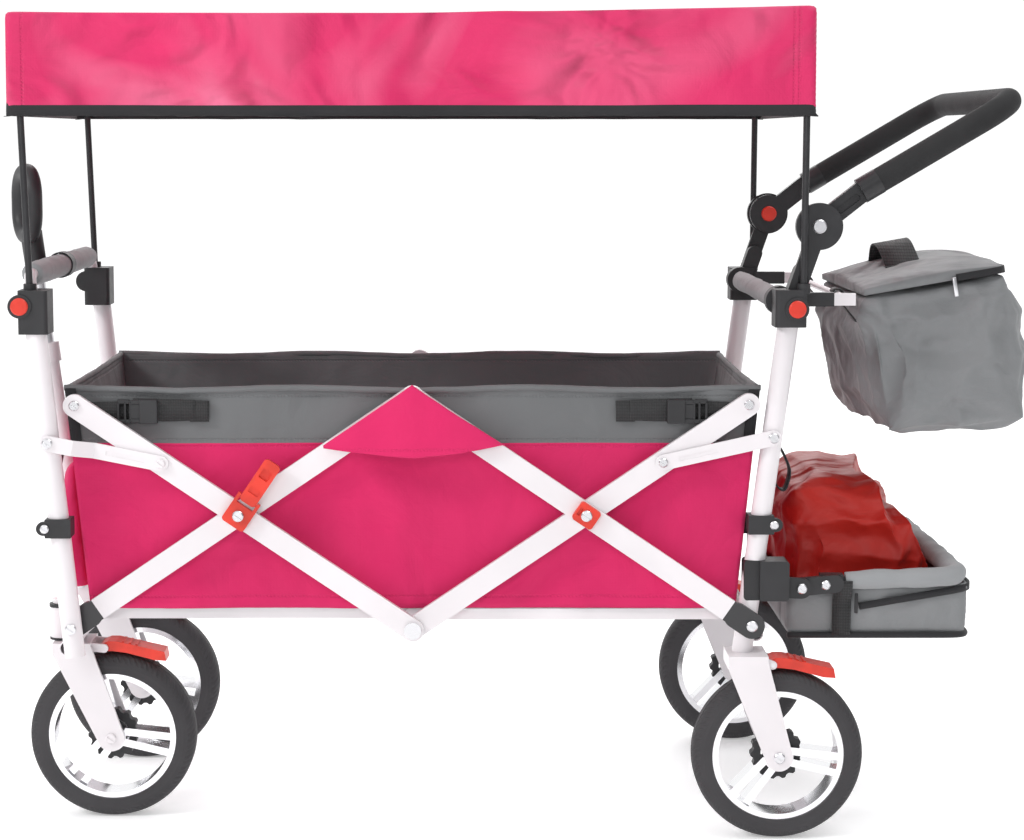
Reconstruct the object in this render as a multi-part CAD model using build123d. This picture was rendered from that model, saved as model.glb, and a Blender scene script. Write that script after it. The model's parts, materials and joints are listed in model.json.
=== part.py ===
"""Folding pull wagon with canopy, push handle, cooler bag and rear tray.

+X points to the push handle, the floor is z = 0 and the near side is -Y.
Every size is in millimetres.
"""
import os
from math import atan2, cos, degrees, hypot, radians, sin

from build123d import *

os.makedirs("parts", exist_ok=True)

# ---- driving dimensions ----
ORIGIN_X = 111.9          # from the basket's centre to the middle of the whole wagon
WHEEL_DIA = 200.0
TYRE_WIDTH = 44.0
RIM_DIA = 154.0
AXLE_DIA = 12.0
CASTER_X = -427.0         # swivel axis of the front wheels
CASTER_TRAIL = 62.0
FRONT_TRACK_HALF = 140.0
REAR_HUB_X = 427.0
REAR_TRACK_HALF = 236.0
PEDAL_PIN_Z = 208.0

PIN_X = 395.0             # lower corner pivots of the scissor frame
PIN_Z = 253.0
BAR_ANGLE = 34.1
BAR_LOW = 234.0           # lower pivot to crossing
BAR_TOP = 227.0           # crossing to top corner
BAR_WIDTH = 26.0
BAR_THICK = 8.0
INNER_BAR_Y = 234.0       # inside faces of the two bar layers
OUTER_BAR_Y = 243.0
BLOCK_THICK = 8.0
LATCH_LEN = 57.0
LATCH_PIN_UP = 20.5       # crossing to the lever's pin
STRUT_THICK = 2.8
CENTRE_ROD_DIA = 12.0

UPRIGHT_DIA = 24.0
FRONT_UPRIGHT_Y = 256.0
REAR_UPRIGHT_Y = 230.5
FRONT_LEAN = 0.1003
REAR_LEAN = 0.1255

TUB_HALF = 226.0          # inside face of the side fabric
TUB_FLOOR_Z = 270.0
TUB_RIM_Z = 532.0
TUB_TOP_X = 404.0
TUB_LOW_X = 378.0
CLOTH = 4.0

RAIL_HINGE_X = 365.0
RAIL_Z = 262.0
BOARD_LEN = 300.0

POLE_DIA = 8.0
CANOPY_TOP_Z = 968.0
HOOP_FRONT_Z = 954.0
HOOP_REAR_Z = 961.0
CANOPY_HEM_Z = 842.0
CANOPY_HALF_X = 462.0
CANOPY_HALF_Y = 258.0

HANDLE_PIVOT = (467.0, 717.0)
HANDLE_Y = 229.0
GRIP_DIA = 29.0

TRAY_PIVOT = (454.0, 295.0)
TRAY_END_X = 655.0
TRAY_HALF = 216.0
BAG_CENTRE = (628.0, 563.0)
BAG_SIZE = (186.0, 360.0, 176.0)
BAG_TILT = 8.5

PULL_PIVOT = (-422.0, 262.0)
PULL_LEAN = 0.129

FIT = 0.05                # radial clearance of turning pins
PIN_DIA = 8.0

INNER = PIN_X / cos(radians(BAR_ANGLE)) - BAR_LOW
R = WHEEL_DIA / 2
SKIN = -OUTER_BAR_Y - BAR_THICK       # outside face of the outer bars

made = {}


def save(name, *shapes):
    """Add solids to one named node; they stay separate pieces."""
    made.setdefault(name, []).extend(solid for shape in shapes for solid in shape.solids())


# ---- small helpers ----
def v2(p, length, angle):
    return (p[0] + length * cos(radians(angle)), p[1] + length * sin(radians(angle)))


def slab(sketch, y0, y1):
    """A drawing in X and Z made solid between two Y values."""
    low, high = sorted((y0, y1))
    return Pos(0, high, 0) * extrude(Plane.XZ * sketch, amount=high - low)


def slot2(p, q, width):
    angle = degrees(atan2(q[1] - p[1], q[0] - p[0]))
    length = hypot(q[0] - p[0], q[1] - p[1])
    return Pos((p[0] + q[0]) / 2, (p[1] + q[1]) / 2) * Rot(0, 0, angle) * SlotCenterToCenter(length, width)


def poly(*points):
    return make_face(Polyline(*points, close=True))


def box(x0, x1, y0, y1, z0, z1):
    return Pos((x0 + x1) / 2, (y0 + y1) / 2, (z0 + z1) / 2) * Box(abs(x1 - x0), abs(y1 - y0), abs(z1 - z0))


def rod_y(p, y0, y1, dia):
    return Pos(p[0], (y0 + y1) / 2, p[1]) * Rot(90, 0, 0) * Cylinder(dia / 2, abs(y1 - y0))


def rod_z(x, y, z0, z1, dia):
    return Pos(x, y, (z0 + z1) / 2) * Cylinder(dia / 2, z1 - z0)


def rod(a, b, dia):
    a, b = Vector(*a), Vector(*b)
    return extrude(Plane(origin=a, z_dir=b - a) * Circle(dia / 2), amount=(b - a).length)


def bent_rod(points, bend, dia, hollow=0):
    """Round bar along points with every corner bent to the same radius."""
    path = FilletPolyline(*points, radius=bend)
    profile = Plane(origin=path @ 0, z_dir=path % 0) * Circle(dia / 2)
    shape = sweep(profile, path=path)
    if hollow:
        shape -= sweep(Plane(origin=path @ 0, z_dir=path % 0) * Circle(hollow / 2), path=path)
    return shape


def far(shape):
    return mirror(shape, about=Plane.XZ)


def both(shape):
    return [shape, far(shape)]


def screw(p, y_face, y_tip, head=13.0, shank=PIN_DIA):
    """Slotted pan head on a face that looks to -Y, its shank running inwards."""
    cap = rod_y(p, y_face - 3.2, y_face, head)
    cap = chamfer(cap.faces().sort_by(Axis.Y)[0].edges(), 1.2)
    cap -= Pos(p[0], y_face - 3.2, p[1]) * Rot(0, 35, 0) * Box(head * 0.75, 2.0, 1.6)
    return cap + rod_y(p, y_face, y_tip, shank)


def upright_x(z, front):
    return -392 - FRONT_LEAN * (z - 215) if front else 400 + REAR_LEAN * (z - 331)


# ---- scissor frame, near side points in X and Z ----
TH = BAR_ANGLE
pin_f = (-PIN_X, PIN_Z)
pin_r = (PIN_X, PIN_Z)
cross_f = v2(pin_f, BAR_LOW, TH)
cross_r = v2(pin_r, BAR_LOW, 180 - TH)
mid_top = v2(cross_f, INNER, TH)
mid_low = v2(cross_f, INNER, -TH)
top_f = v2(cross_f, BAR_TOP, 180 - TH)
top_r = v2(cross_r, BAR_TOP, TH)
inner = (-INNER_BAR_Y, -INNER_BAR_Y - BAR_THICK)
outer = (-OUTER_BAR_Y, SKIN)
STRUT_U_F = (upright_x(470, True), 470.0)
STRUT_U_R = (upright_x(473, False), 473.0)
STRUT_S_F = v2(cross_f, 107.5, 180 - TH)
STRUT_S_R = v2(cross_r, 107.5, TH)


def hole(p, dia=PIN_DIA + 2 * FIT):
    return rod_y(p, -200, -300, dia)


def flat_bar(p, q, layer, holes):
    shape = slab(slot2(p, q, BAR_WIDTH), *layer)
    for point in holes:
        shape -= hole(point)
    return shape


def end_cap(p, angle, layer):
    """Black sleeve on a bar's lower end."""
    return slab(slot2(p, v2(p, 22, angle), BAR_WIDTH + 4), *layer) - hole(p)


def capped_bar(p, q, angle, layer, holes):
    shape = flat_bar(v2(p, 30, angle), q, layer, holes)
    return shape - slab(slot2(p, v2(p, 22, angle), BAR_WIDTH + 4), *layer)


rod_hole = CENTRE_ROD_DIA + 2 * FIT
bar_a = flat_bar(top_f, mid_low, outer, (cross_f,)) - hole(mid_low, rod_hole) - hole(top_f, 5)
bar_b = capped_bar(pin_f, mid_top, TH, inner, (cross_f, mid_top))
bar_c = capped_bar(pin_r, mid_top, 180 - TH, outer, (cross_r, mid_top))
bar_d = flat_bar(mid_low, top_r, inner, ()) - hole(mid_low, rod_hole) - hole(top_r, 5)
bar_d -= hole(cross_r, PIN_DIA + 0.6)
save("bars_front_falling", *both(bar_a))
save("bars_front_rising", *both(bar_b))
save("bars_rear_falling", *both(bar_c))
save("bars_rear_rising", *both(bar_d))
save("bars_front_rising", *both(end_cap(pin_f, TH, inner)))
save("bars_rear_falling", *both(end_cap(pin_r, 180 - TH, outer)))


def pivot(p, face):
    """Pin through both bar layers, its head on the given outside face."""
    pin = rod_y(p, -INNER_BAR_Y + 0.2, face - 0.2, PIN_DIA)
    pin += rod_y(p, -INNER_BAR_Y + 2.4, -INNER_BAR_Y + 0.2, 13)
    return pin + screw(p, face - 0.2, face)


save("bars_front_rising", *both(pivot(cross_f, SKIN - BLOCK_THICK)), *both(pivot(mid_top, SKIN)))
save("bars_rear_falling", *both(pivot(cross_r, SKIN - BLOCK_THICK)))
save("bars_front_falling", *both(screw(top_f, SKIN, SKIN + 7, 12, 5)))
save("bars_rear_rising", *both(screw(top_r, -INNER_BAR_Y - BAR_THICK, -INNER_BAR_Y - 1, 12, 5)))


# ---- red fold latch on the front crossing and its catch on the rear one ----
def on_bar(p, along, across, y0, y1, corner=4.0):
    return slab(Pos(*p) * Rot(0, 0, -TH) * RectangleRounded(along, across, corner), y0, y1)


def up_lever(distance):
    return v2(cross_f, distance, 90 - TH)


def latch_pin(dia):
    """Short pin along the bar that the lever turns on."""
    ends = [v2(up_lever(LATCH_PIN_UP), side * 14, -TH) for side in (-1, 1)]
    return rod(*[(x, SKIN - 4.5, z) for x, z in ends], dia)


lever_low = LATCH_PIN_UP - 3
base = on_bar(cross_f, 30, 27, SKIN, SKIN - BLOCK_THICK) - hole(cross_f)
save("latch_base", far(base))
for side in (-1, 1):
    base += on_bar(v2(up_lever(18), side * 12.9, -TH), 4.2, 13, SKIN, SKIN - BLOCK_THICK, 1)
save("latch_base", base + latch_pin(3))
lever = on_bar(up_lever(lever_low + LATCH_LEN / 2), 21, LATCH_LEN, SKIN - 1, SKIN - 8, 5)
lever -= latch_pin(3 + 2 * FIT)
lever -= on_bar(up_lever(lever_low + LATCH_LEN * 0.7), 12, 12, SKIN - 4, SKIN - 9, 1.5)
lever -= on_bar(up_lever(lever_low + LATCH_LEN * 0.3), 13, 8, SKIN - 6, SKIN - 9, 1)
save("latch_lever", lever)
catch = on_bar(cross_r, 27, 24, SKIN, SKIN - BLOCK_THICK) - hole(cross_r)
catch -= on_bar(v2(cross_r, 9, 180 - TH), 4, 10, SKIN - 5, SKIN - 9, 1)
save("latch_catch", *both(catch))


# ---- pressed steel struts ----
def strut(u, s, y_u, y_s):
    """Flat strut, stepped sideways when its two ends lie on different faces."""
    length = hypot(s[0] - u[0], s[1] - u[1])
    turn = degrees(atan2(s[1] - u[1], s[0] - u[0]))
    t = STRUT_THICK
    edge = [(-10, y_u), (29, y_u), (52, y_s), (length + 10, y_s)]
    plate = extrude(poly(*edge, *[(x, y + t) for x, y in reversed(edge)]), amount=10, both=True)
    shape = plate & slab(slot2((0, 0), (length, 0), 18), -400, 0)
    shape -= Pos(length * 0.68, y_s, 0) * Box(length * 0.35, 1.4, 5)
    shape -= rod_y((0, 0), -300, -200, 6 + 2 * FIT) + rod_y((length, 0), -300, -200, 6)
    return Pos(u[0], 0, u[1]) * Rot(0, -turn, 0) * shape


front_face = -FRONT_UPRIGHT_Y - UPRIGHT_DIA / 2
rear_face = -REAR_UPRIGHT_Y - UPRIGHT_DIA / 2
strut_f_y = (front_face - 0.3 - STRUT_THICK, SKIN - 0.3 - STRUT_THICK)
strut_r_y = (rear_face - 0.5 - STRUT_THICK,) * 2
save("struts_front", *both(strut(STRUT_U_F, STRUT_S_F, *strut_f_y)))
save("struts_rear", *both(strut(STRUT_U_R, STRUT_S_R, *strut_r_y)))
save("struts_front", *both(screw(STRUT_S_F, strut_f_y[1], strut_f_y[1] + STRUT_THICK, 11, 6)))
save("struts_rear", *both(screw(STRUT_S_R, strut_r_y[1], strut_r_y[1] + STRUT_THICK, 11, 6)))

# ---- front frame ----
CROSS_F = (-402.0, 228.0)
CROSS_R = (402.0, 240.0)


def upright(front, z0, z1, dia=UPRIGHT_DIA):
    y = -FRONT_UPRIGHT_Y if front else -REAR_UPRIGHT_Y
    return rod((upright_x(z0, front), y, z0), (upright_x(z1, front), y, z1), dia)


def rail_lug(sign, tube_at):
    """Ear on a cross tube that carries a floor rail's hinge."""
    hinge = (sign * RAIL_HINGE_X, RAIL_Z)
    return slab(slot2(tube_at, hinge, 11), -207, -203) - rod_y(hinge, -215, -200, 5)


def cross_tube(at, half):
    return rod_y(at, -half, half, 18) - rod_y(at, -half - 1, half + 1, 15)


housing = rod_z(CASTER_X, -FRONT_TRACK_HALF, 219, 256, 26)
housing += box(CASTER_X, CROSS_F[0], -FRONT_TRACK_HALF - 10, -FRONT_TRACK_HALF + 10, 220, 236)
frame_f = upright(True, 219, 612) + far(upright(True, 219, 612))
frame_f += cross_tube(CROSS_F, FRONT_UPRIGHT_Y) + housing + far(housing)
frame_f += rail_lug(-1, CROSS_F) + far(rail_lug(-1, CROSS_F))
ear = slab(slot2(CROSS_F, PULL_PIVOT, 20), -20, -16)
frame_f += ear + far(ear)
bore = upright(True, 200, 640, UPRIGHT_DIA - 3)
frame_f -= bore + far(bore)
swivel_bore = rod_z(CASTER_X, -FRONT_TRACK_HALF, 200, 270, 12 + 2 * FIT)
frame_f -= swivel_bore + far(swivel_bore)
frame_f -= rod_y(PULL_PIVOT, -30, 30, 8)
frame_f -= rod_y(CROSS_F, -FRONT_UPRIGHT_Y + 20, FRONT_UPRIGHT_Y - 20, 15)
frame_f -= rod_y(pin_f, -300, 300, PIN_DIA) + rod_y(STRUT_U_F, -300, 300, 6)
save("front_frame", frame_f)
caps = rod_z(CASTER_X, -FRONT_TRACK_HALF, 256, 260, 28) + rod_z(CASTER_X, -FRONT_TRACK_HALF, 216.4, 219, 28)
caps -= rod_z(CASTER_X, -FRONT_TRACK_HALF, 210, 270, 12.6)
save("front_fittings", *both(caps))
frame_pins_f = screw(pin_f, front_face, -INNER_BAR_Y + 1.5)
save("frame_screws_front", *both(frame_pins_f), *both(screw(STRUT_U_F, strut_f_y[0] - 0.2, front_face + 6, 12, 6)))


# ---- rear frame with its two fixed forks ----
def fork(hub, y_mid, crown_x, crown_z):
    """Two plates down from a crown block, with ears for the brake pedal."""
    shape = box(crown_x - 23, crown_x + 23, y_mid - 31, y_mid + 31, *crown_z)
    for inside, outside in ((y_mid + 26, y_mid + 31), (y_mid - 31, y_mid - 26)):
        outline = (Pos(crown_x, crown_z[0] + 5) * Rectangle(46, 10)).edges() + (Pos(*hub) * Circle(16)).edges()
        shape += slab(make_hull(outline), inside, outside)
    for side in (-22, 18):
        shape += slab(slot2((crown_x + 10, crown_z[1] - 5), pedal_pin(hub), 10), y_mid + side, y_mid + side + 4)
    shape -= rod_y(pedal_pin(hub), y_mid - 25, y_mid + 25, 5)
    return shape - rod_y(hub, y_mid - 40, y_mid + 40, AXLE_DIA)


def pedal_pin(hub):
    return (hub[0] - 8, PEDAL_PIN_Z)


front_hub = (CASTER_X + CASTER_TRAIL, R)
rear_hub = (REAR_HUB_X, R)
rear_fork = fork(rear_hub, -REAR_TRACK_HALF, 390, (204, 220))
frame_r = upright(False, 214, 612) + far(upright(False, 214, 612))
frame_r += cross_tube(CROSS_R, REAR_UPRIGHT_Y) + rear_fork + far(rear_fork)
frame_r += rail_lug(1, CROSS_R) + far(rail_lug(1, CROSS_R))
bore = upright(False, 221, 640, UPRIGHT_DIA - 3)
frame_r -= bore + far(bore)
frame_r -= rod_y(CROSS_R, -REAR_UPRIGHT_Y + 20, REAR_UPRIGHT_Y - 20, 15)
frame_r -= rod_y(pin_r, -300, 300, PIN_DIA) + rod_y(STRUT_U_R, -300, 300, 6)
save("rear_frame", frame_r)
frame_pins_r = screw(pin_r, SKIN - 0.2, -REAR_UPRIGHT_Y + 8)
save("frame_screws_rear", *both(frame_pins_r), *both(screw(STRUT_U_R, strut_r_y[0] - 0.2, rear_face + 6, 12, 6)))

# ---- swivelling front forks ----
caster = fork(front_hub, -FRONT_TRACK_HALF, -411, (203.5, 215.8))
caster += rod_z(CASTER_X, -FRONT_TRACK_HALF, 215, 263, 12)
save("caster_fork_near", caster)
save("caster_fork_far", far(caster))
nut = rod_z(CASTER_X, -FRONT_TRACK_HALF, 260.4, 266, 20) - rod_z(CASTER_X, -FRONT_TRACK_HALF, 250, 263, 12)
save("caster_fork_near", nut)
save("caster_fork_far", far(nut))


# ---- wheels ----
def tyre(hub, y):
    body = rod_y(hub, y - TYRE_WIDTH / 2, y + TYRE_WIDTH / 2, WHEEL_DIA)
    body = fillet(body.edges().filter_by(GeomType.CIRCLE), 15)
    body -= rod_y(hub, y - 40, y + 40, RIM_DIA)
    for step in (-7, 7):
        groove = rod_y(hub, y + step - 1.2, y + step + 1.2, WHEEL_DIA + 4)
        body -= groove - rod_y(hub, y + step - 2, y + step + 2, WHEEL_DIA - 4)
    return body


def rim(hub, y):
    ring = rod_y(hub, y - 19, y + 19, RIM_DIA) - rod_y(hub, y - 20, y + 20, RIM_DIA - 14)
    for turn in (-10, 110, 230):
        for side in (-8, 8):
            ring += slab(slot2(v2(hub, 12, turn + 4 * side), v2(hub, RIM_DIA / 2 - 5.5, turn + side), 9), y - 14, y + 14)
    ring += rod_y(hub, y - 25.8, y + 25.8, 34)
    return ring - rod_y(hub, y - 40, y + 40, AXLE_DIA + 2 * FIT)


def axle(hub, y):
    outside = screw(hub, y - 31, y + 31, 13, AXLE_DIA)
    return outside + rod_y(hub, y + 31, y + 34, 13)


places = {"front": (front_hub, -FRONT_TRACK_HALF), "rear": (rear_hub, -REAR_TRACK_HALF)}
for place, at in places.items():
    save(f"tyre_{place}_near", tyre(*at))
    save(f"tyre_{place}_far", far(tyre(*at)))
    save(f"rim_{place}_near", rim(*at))
    save(f"rim_{place}_far", far(rim(*at)))
save("caster_fork_near", axle(*places["front"]))
save("caster_fork_far", far(axle(*places["front"])))
save("frame_screws_rear", *both(axle(*places["rear"])))


# ---- red brake pedals over the wheels ----
def pedal(hub, y):
    x, z = pedal_pin(hub)
    profile = poly(
        (x - 5, z + 4), (x + 4, z + 8), (x + 14, z + 8), (x + 72, z - 5), (x + 74, z - 16),
        (x + 60, z - 15), (x + 26, z - 6), (x + 10, z - 4), (x - 5, z - 4),
    )
    body = slab(profile, y - 17.5, y + 17.5)
    for rib in (22, 30, 38):
        top = z + 8 - (rib - 14) * 13 / 58
        body += Pos(x + rib, y, top) * Rot(0, 12.6, 0) * Box(3, 30, 2.4)
    body -= rod_y((x, z), y - 40, y + 40, 5 + 2 * FIT)
    return body


def pedal_rod(hub, y):
    return rod_y(pedal_pin(hub), y - 22, y + 22, 5)


save("brake_pedal_near", pedal(*places["front"]))
save("brake_pedal_far", far(pedal(*places["front"])))
save("brake_pedals_rear", *both(pedal(*places["rear"])))
save("caster_fork_near", pedal_rod(*places["front"]))
save("caster_fork_far", far(pedal_rod(*places["front"])))
save("frame_screws_rear", *both(pedal_rod(*places["rear"])))


# ---- floor: rails, boards and the centre rod that joins the two bar pairs ----
def rail(sign, y0, y1):
    hinge = (sign * RAIL_HINGE_X, RAIL_Z)
    shape = slab(slot2(hinge, (-sign * 4, RAIL_Z), 13), y0, y1)
    return shape - rod_y(hinge, -300, -200, 5 + 2 * FIT)


def board(sign):
    x0 = sign * (RAIL_HINGE_X - BOARD_LEN)
    x1 = sign * (RAIL_HINGE_X - 12)
    return box(x0, x1, -201, 201, RAIL_Z - 1, RAIL_Z + 5)


def floor_half(sign, y_rail):
    """Board on two cross bars between a pair of rails, all one welded piece."""
    shape = board(sign) + rail(sign, -y_rail, -y_rail - 6) + far(rail(sign, -y_rail, -y_rail - 6))
    for x in (RAIL_HINGE_X - 40, RAIL_HINGE_X - 260):
        shape += box(sign * x - 6, sign * x + 6, -y_rail, y_rail, RAIL_Z - 6.5, RAIL_Z)
    return shape


def rail_pin(sign, y_out):
    hinge = (sign * RAIL_HINGE_X, RAIL_Z)
    return rod_y(hinge, -203, y_out, 5) + rod_y(hinge, y_out - 1.5, y_out, 9)


save("floor_half_front", floor_half(-1, 208))
save("floor_half_rear", floor_half(1, 215.5))
save("frame_screws_front", *both(rail_pin(-1, -214.2)))
save("frame_screws_rear", *both(rail_pin(1, -221.7)))
centre = rod_y(mid_low, SKIN - 2, -SKIN + 2, CENTRE_ROD_DIA)
centre += rod_y(mid_low, SKIN - 4, SKIN - 0.3, 20) + rod_y(mid_low, -SKIN + 0.3, -SKIN + 4, 20)
for y in (-150, 0, 150):
    centre += box(-10, 10, y - 10, y + 10, mid_low[1], RAIL_Z - 1)
save("floor_centre", centre)
middle = RAIL_HINGE_X - BOARD_LEN - 4
save("floor_centre", box(-middle, middle, -201, 201, RAIL_Z - 1, RAIL_Z + 5))


# ---- corner blocks, bumpers and canopy hoops ----
BUTTON_F = (-446.0, 627.0)
BUTTON_R = (441.0, 623.0)
BUTTON_DIA = 20.0
POLE_Y = 250.0
POLE_F = ((-437.0, 632.0), (-448.0, HOOP_FRONT_Z))
POLE_R = ((449.0, 635.0), (450.0, HOOP_REAR_Z))
BUMPER_F = (-441.0, 661.0)
BUMPER_R = (427.0, 630.0)


def pole_hoop(low, high):
    near = [(low[0], -POLE_Y, low[1]), (high[0], -POLE_Y, high[1])]
    return bent_rod(near + [(x, -y, z) for x, y, z in reversed(near)], 12, POLE_DIA)


save("canopy_hoop_front", pole_hoop(*POLE_F))
save("canopy_hoop_rear", pole_hoop(*POLE_R))


def corner_block(front):
    """Socket block on an upright's top, with a boss for its push button."""
    x = upright_x(612, front)
    y0, y1 = (-270.0, -222.0) if front else (-259.0, -216.0)
    button = BUTTON_F if front else BUTTON_R
    shape = box(x - 17, x + 17, y0, y1, 595, 645) if front else box(x - 19, x + 17, y0, y1, 602, 645)
    shape = fillet(shape.edges().filter_by(Axis.Z), 5)
    shape += rod_y(button, y0 - 2, y1, 27)
    low, high = POLE_F if front else POLE_R
    shape += rod((low[0], -POLE_Y, 640), (low[0], -POLE_Y, 652), 15)
    shape -= upright(front, 560, 612)
    shape -= rod((low[0], -POLE_Y, low[1]), (high[0], -POLE_Y, high[1]), POLE_DIA)
    shape -= rod_y(button, y0 - 9, y0 + 12, BUTTON_DIA + 2 * FIT)
    return shape


block_f = corner_block(True)
block_r = corner_block(False)

bumper_pts = [(-436, -232, 625), (BUMPER_F[0], -232, BUMPER_F[1])]
bumper_pts += [(x, -y, z) for x, y, z in reversed(bumper_pts)]
bumper_f = bent_rod(bumper_pts, 14, 14)
block_f -= bumper_f
save("front_frame", bumper_f)
pad_hole = 14 + 2 * FIT
save("front_bumper_pad", rod_y(BUMPER_F, -212, 212, 28) - rod_y(BUMPER_F, -213, 213, pad_hole))
save("front_fittings", rod_y(BUMPER_F, -14, 14, 32) - rod_y(BUMPER_F, -15, 15, 28.6))
bumper_r = rod_y(BUMPER_R, -218, 218, 14)
save("rear_bars", bumper_r)
save("rear_bumper_pad", rod_y(BUMPER_R, -190, 190, 25) - rod_y(BUMPER_R, -200, 200, pad_hole))
collar = rod_y(BUMPER_R, -216, -196, 34) - rod_y(BUMPER_R, -230, -190, 14)
save("rear_fittings", *both(collar))
block_r -= rod_y(BUMPER_R, -218, -200, 14)

# ---- push handle: posts, side discs, arms and the padded grip ----
POST_LOW = (438.0, 632.0)
post_dir = degrees(atan2(HANDLE_PIVOT[1] - POST_LOW[1], HANDLE_PIVOT[0] - POST_LOW[0]))
post = slab(slot2(POST_LOW, HANDLE_PIVOT, 20), -245, -236) + rod_y(HANDLE_PIVOT, -245, -236, 54)
post += slab(slot2(POST_LOW, v2(POST_LOW, 34, post_dir), 20), -236, -222)
post -= box(400, 480, -300, -200, 600, 632) + rod_y(HANDLE_PIVOT, -300, -200, PIN_DIA)
post -= rod((POLE_R[0][0], -POLE_Y, 620), (POLE_R[0][0], -POLE_Y, 660), 15)
block_r -= post
save("rear_arms", *both(post))

ARM_END = (533.0, 767.0)
TIP = (692.0, 861.0)
grip_dir = degrees(atan2(TIP[1] - ARM_END[1], TIP[0] - ARM_END[0]))
arm_dir = degrees(atan2(ARM_END[1] - HANDLE_PIVOT[1], ARM_END[0] - HANDLE_PIVOT[0]))
tube_at = v2(ARM_END, -14, grip_dir)
collar_end = v2(ARM_END, 4, grip_dir)


def handle_path(start):
    return [(start[0], -HANDLE_Y, start[1]), (TIP[0], -HANDLE_Y, TIP[1]),
            (TIP[0], HANDLE_Y, TIP[1]), (start[0], HANDLE_Y, start[1])]


arm = rod_y(HANDLE_PIVOT, -235.6, -223, 50) + slab(slot2(HANDLE_PIVOT, tube_at, 24), -235.6, -223)
arm -= slab(slot2(v2(HANDLE_PIVOT, 31, arm_dir), v2(HANDLE_PIVOT, 54, arm_dir), 9), -240, -233)
arm += rod((v2(tube_at, -6, grip_dir)[0], -HANDLE_Y, v2(tube_at, -6, grip_dir)[1]),
           (collar_end[0], -HANDLE_Y, collar_end[1]), 30)
arm -= rod((tube_at[0], -HANDLE_Y, tube_at[1]), (TIP[0], -HANDLE_Y, TIP[1]), 22)
arm -= rod_y(HANDLE_PIVOT, -240, -220, PIN_DIA + 2 * FIT) + rod_y(HANDLE_PIVOT, -231.6, -220, BUTTON_DIA + 2 * FIT)
save("push_handle_frame", *both(arm))
save("push_handle_frame", bent_rod(handle_path(tube_at), 45, 22, 19))
save("push_handle_grip", bent_rod(handle_path(collar_end), 45, GRIP_DIA, 22))
save("frame_screws_rear", *both(screw(HANDLE_PIVOT, -245, -232.2, 16)))


def button(at, y_out, y_in, inward=1):
    cap = rod_y(at, y_out, y_in, BUTTON_DIA)
    return chamfer(cap.faces().sort_by(Axis.Y)[0 if inward > 0 else -1].edges(), 1.2)


handle_button = button(HANDLE_PIVOT, -219.5, -226.5, -1)
front_button = button(BUTTON_F, -275, -263.5)
rear_button = button(BUTTON_R, -264, -252.5)
for name, shape in (("handle", handle_button), ("front", front_button), ("rear", rear_button)):
    save(f"button_{name}_near", shape)
    save(f"button_{name}_far", far(shape))

# ---- rear tray on folding arms ----
bracket = box(386, 438, -249, -214, 282, 329)
bracket = fillet(bracket.edges().filter_by(Axis.Y), 4) - upright(False, 270, 340)
bracket += slab(slot2((430, 296), TRAY_PIVOT, 24), -238, -231)
bracket -= box(380, 404, -260, -OUTER_BAR_Y + 0.4, 280, 331)
bracket -= rod_y(TRAY_PIVOT, -300, -200, 6)
save("rear_fittings", *both(bracket))
TRAY_TUBE_Z = 300.0
tray_arm = slab(slot2(TRAY_PIVOT, (494, TRAY_TUBE_Z - 1), 21), -230.6, -222)
tray_arm += box(478, 505, -223, -208, TRAY_TUBE_Z - 9, TRAY_TUBE_Z + 9)
tray_arm -= rod((485, -TRAY_HALF, TRAY_TUBE_Z), (520, -TRAY_HALF, TRAY_TUBE_Z), 10)
tray_arm -= rod_y(TRAY_PIVOT, -300, -200, 6 + 2 * FIT) + rod_y((483, TRAY_TUBE_Z - 2), -240, -226, 5)
save("tray_frame", *both(tray_arm))
save("tray_frame", *both(screw((483, TRAY_TUBE_Z - 2), -230.6, -226, 11, 5)))
save("tray_frame", *both(screw(TRAY_PIVOT, -238, -222, 12, 6)))
rim_x = TRAY_END_X - 12


def tray_path(start):
    return [(start, -TRAY_HALF, TRAY_TUBE_Z), (rim_x, -TRAY_HALF, TRAY_TUBE_Z),
            (rim_x, TRAY_HALF, TRAY_TUBE_Z), (start, TRAY_HALF, TRAY_TUBE_Z)]


save("tray_frame", bent_rod(tray_path(485), 35, 10))
save("tray_fabric", bent_rod(tray_path(507), 35, 23, 10.4))


def basket(x0, x1, half, z0, z1, wall):
    shell = box(x0, x1, -half, half, z0, z1)
    shell = fillet(shell.edges().filter_by(Axis.Z), 14)
    return shell - box(x0 + wall, x1 - wall, -half + wall, half - wall, z0 + wall, z1 + 1)


save("tray_fabric", basket(441, TRAY_END_X - 3, TRAY_HALF - 5, 232, TRAY_TUBE_Z - 12, CLOTH))
cloth_side = poly((449, 236.3), (622, 236.3), (627, 330), (612, 352), (590, 360), (575, 398), (452, 408), (449, 300))
save("red_cloth", slab(cloth_side, -140, 150))

# ---- cooler bag on two arms ----
block_r -= box(448, 488, -226, -214, 624, 640)
HANGER = (505.0, 632.0)
save("rear_arms", *both(box(448, 488, -226, -214, 624, 640)))
save("rear_bars", *both(box(488, 513, -225, -215, 625, 639) - rod_y(HANGER, -230, -200, 8)))
save("rear_bars", rod_y(HANGER, -225, 225, 8))


def in_bag(shape):
    return Pos(BAG_CENTRE[0], 0, BAG_CENTRE[1]) * Rot(0, -BAG_TILT, 0) * shape


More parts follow.
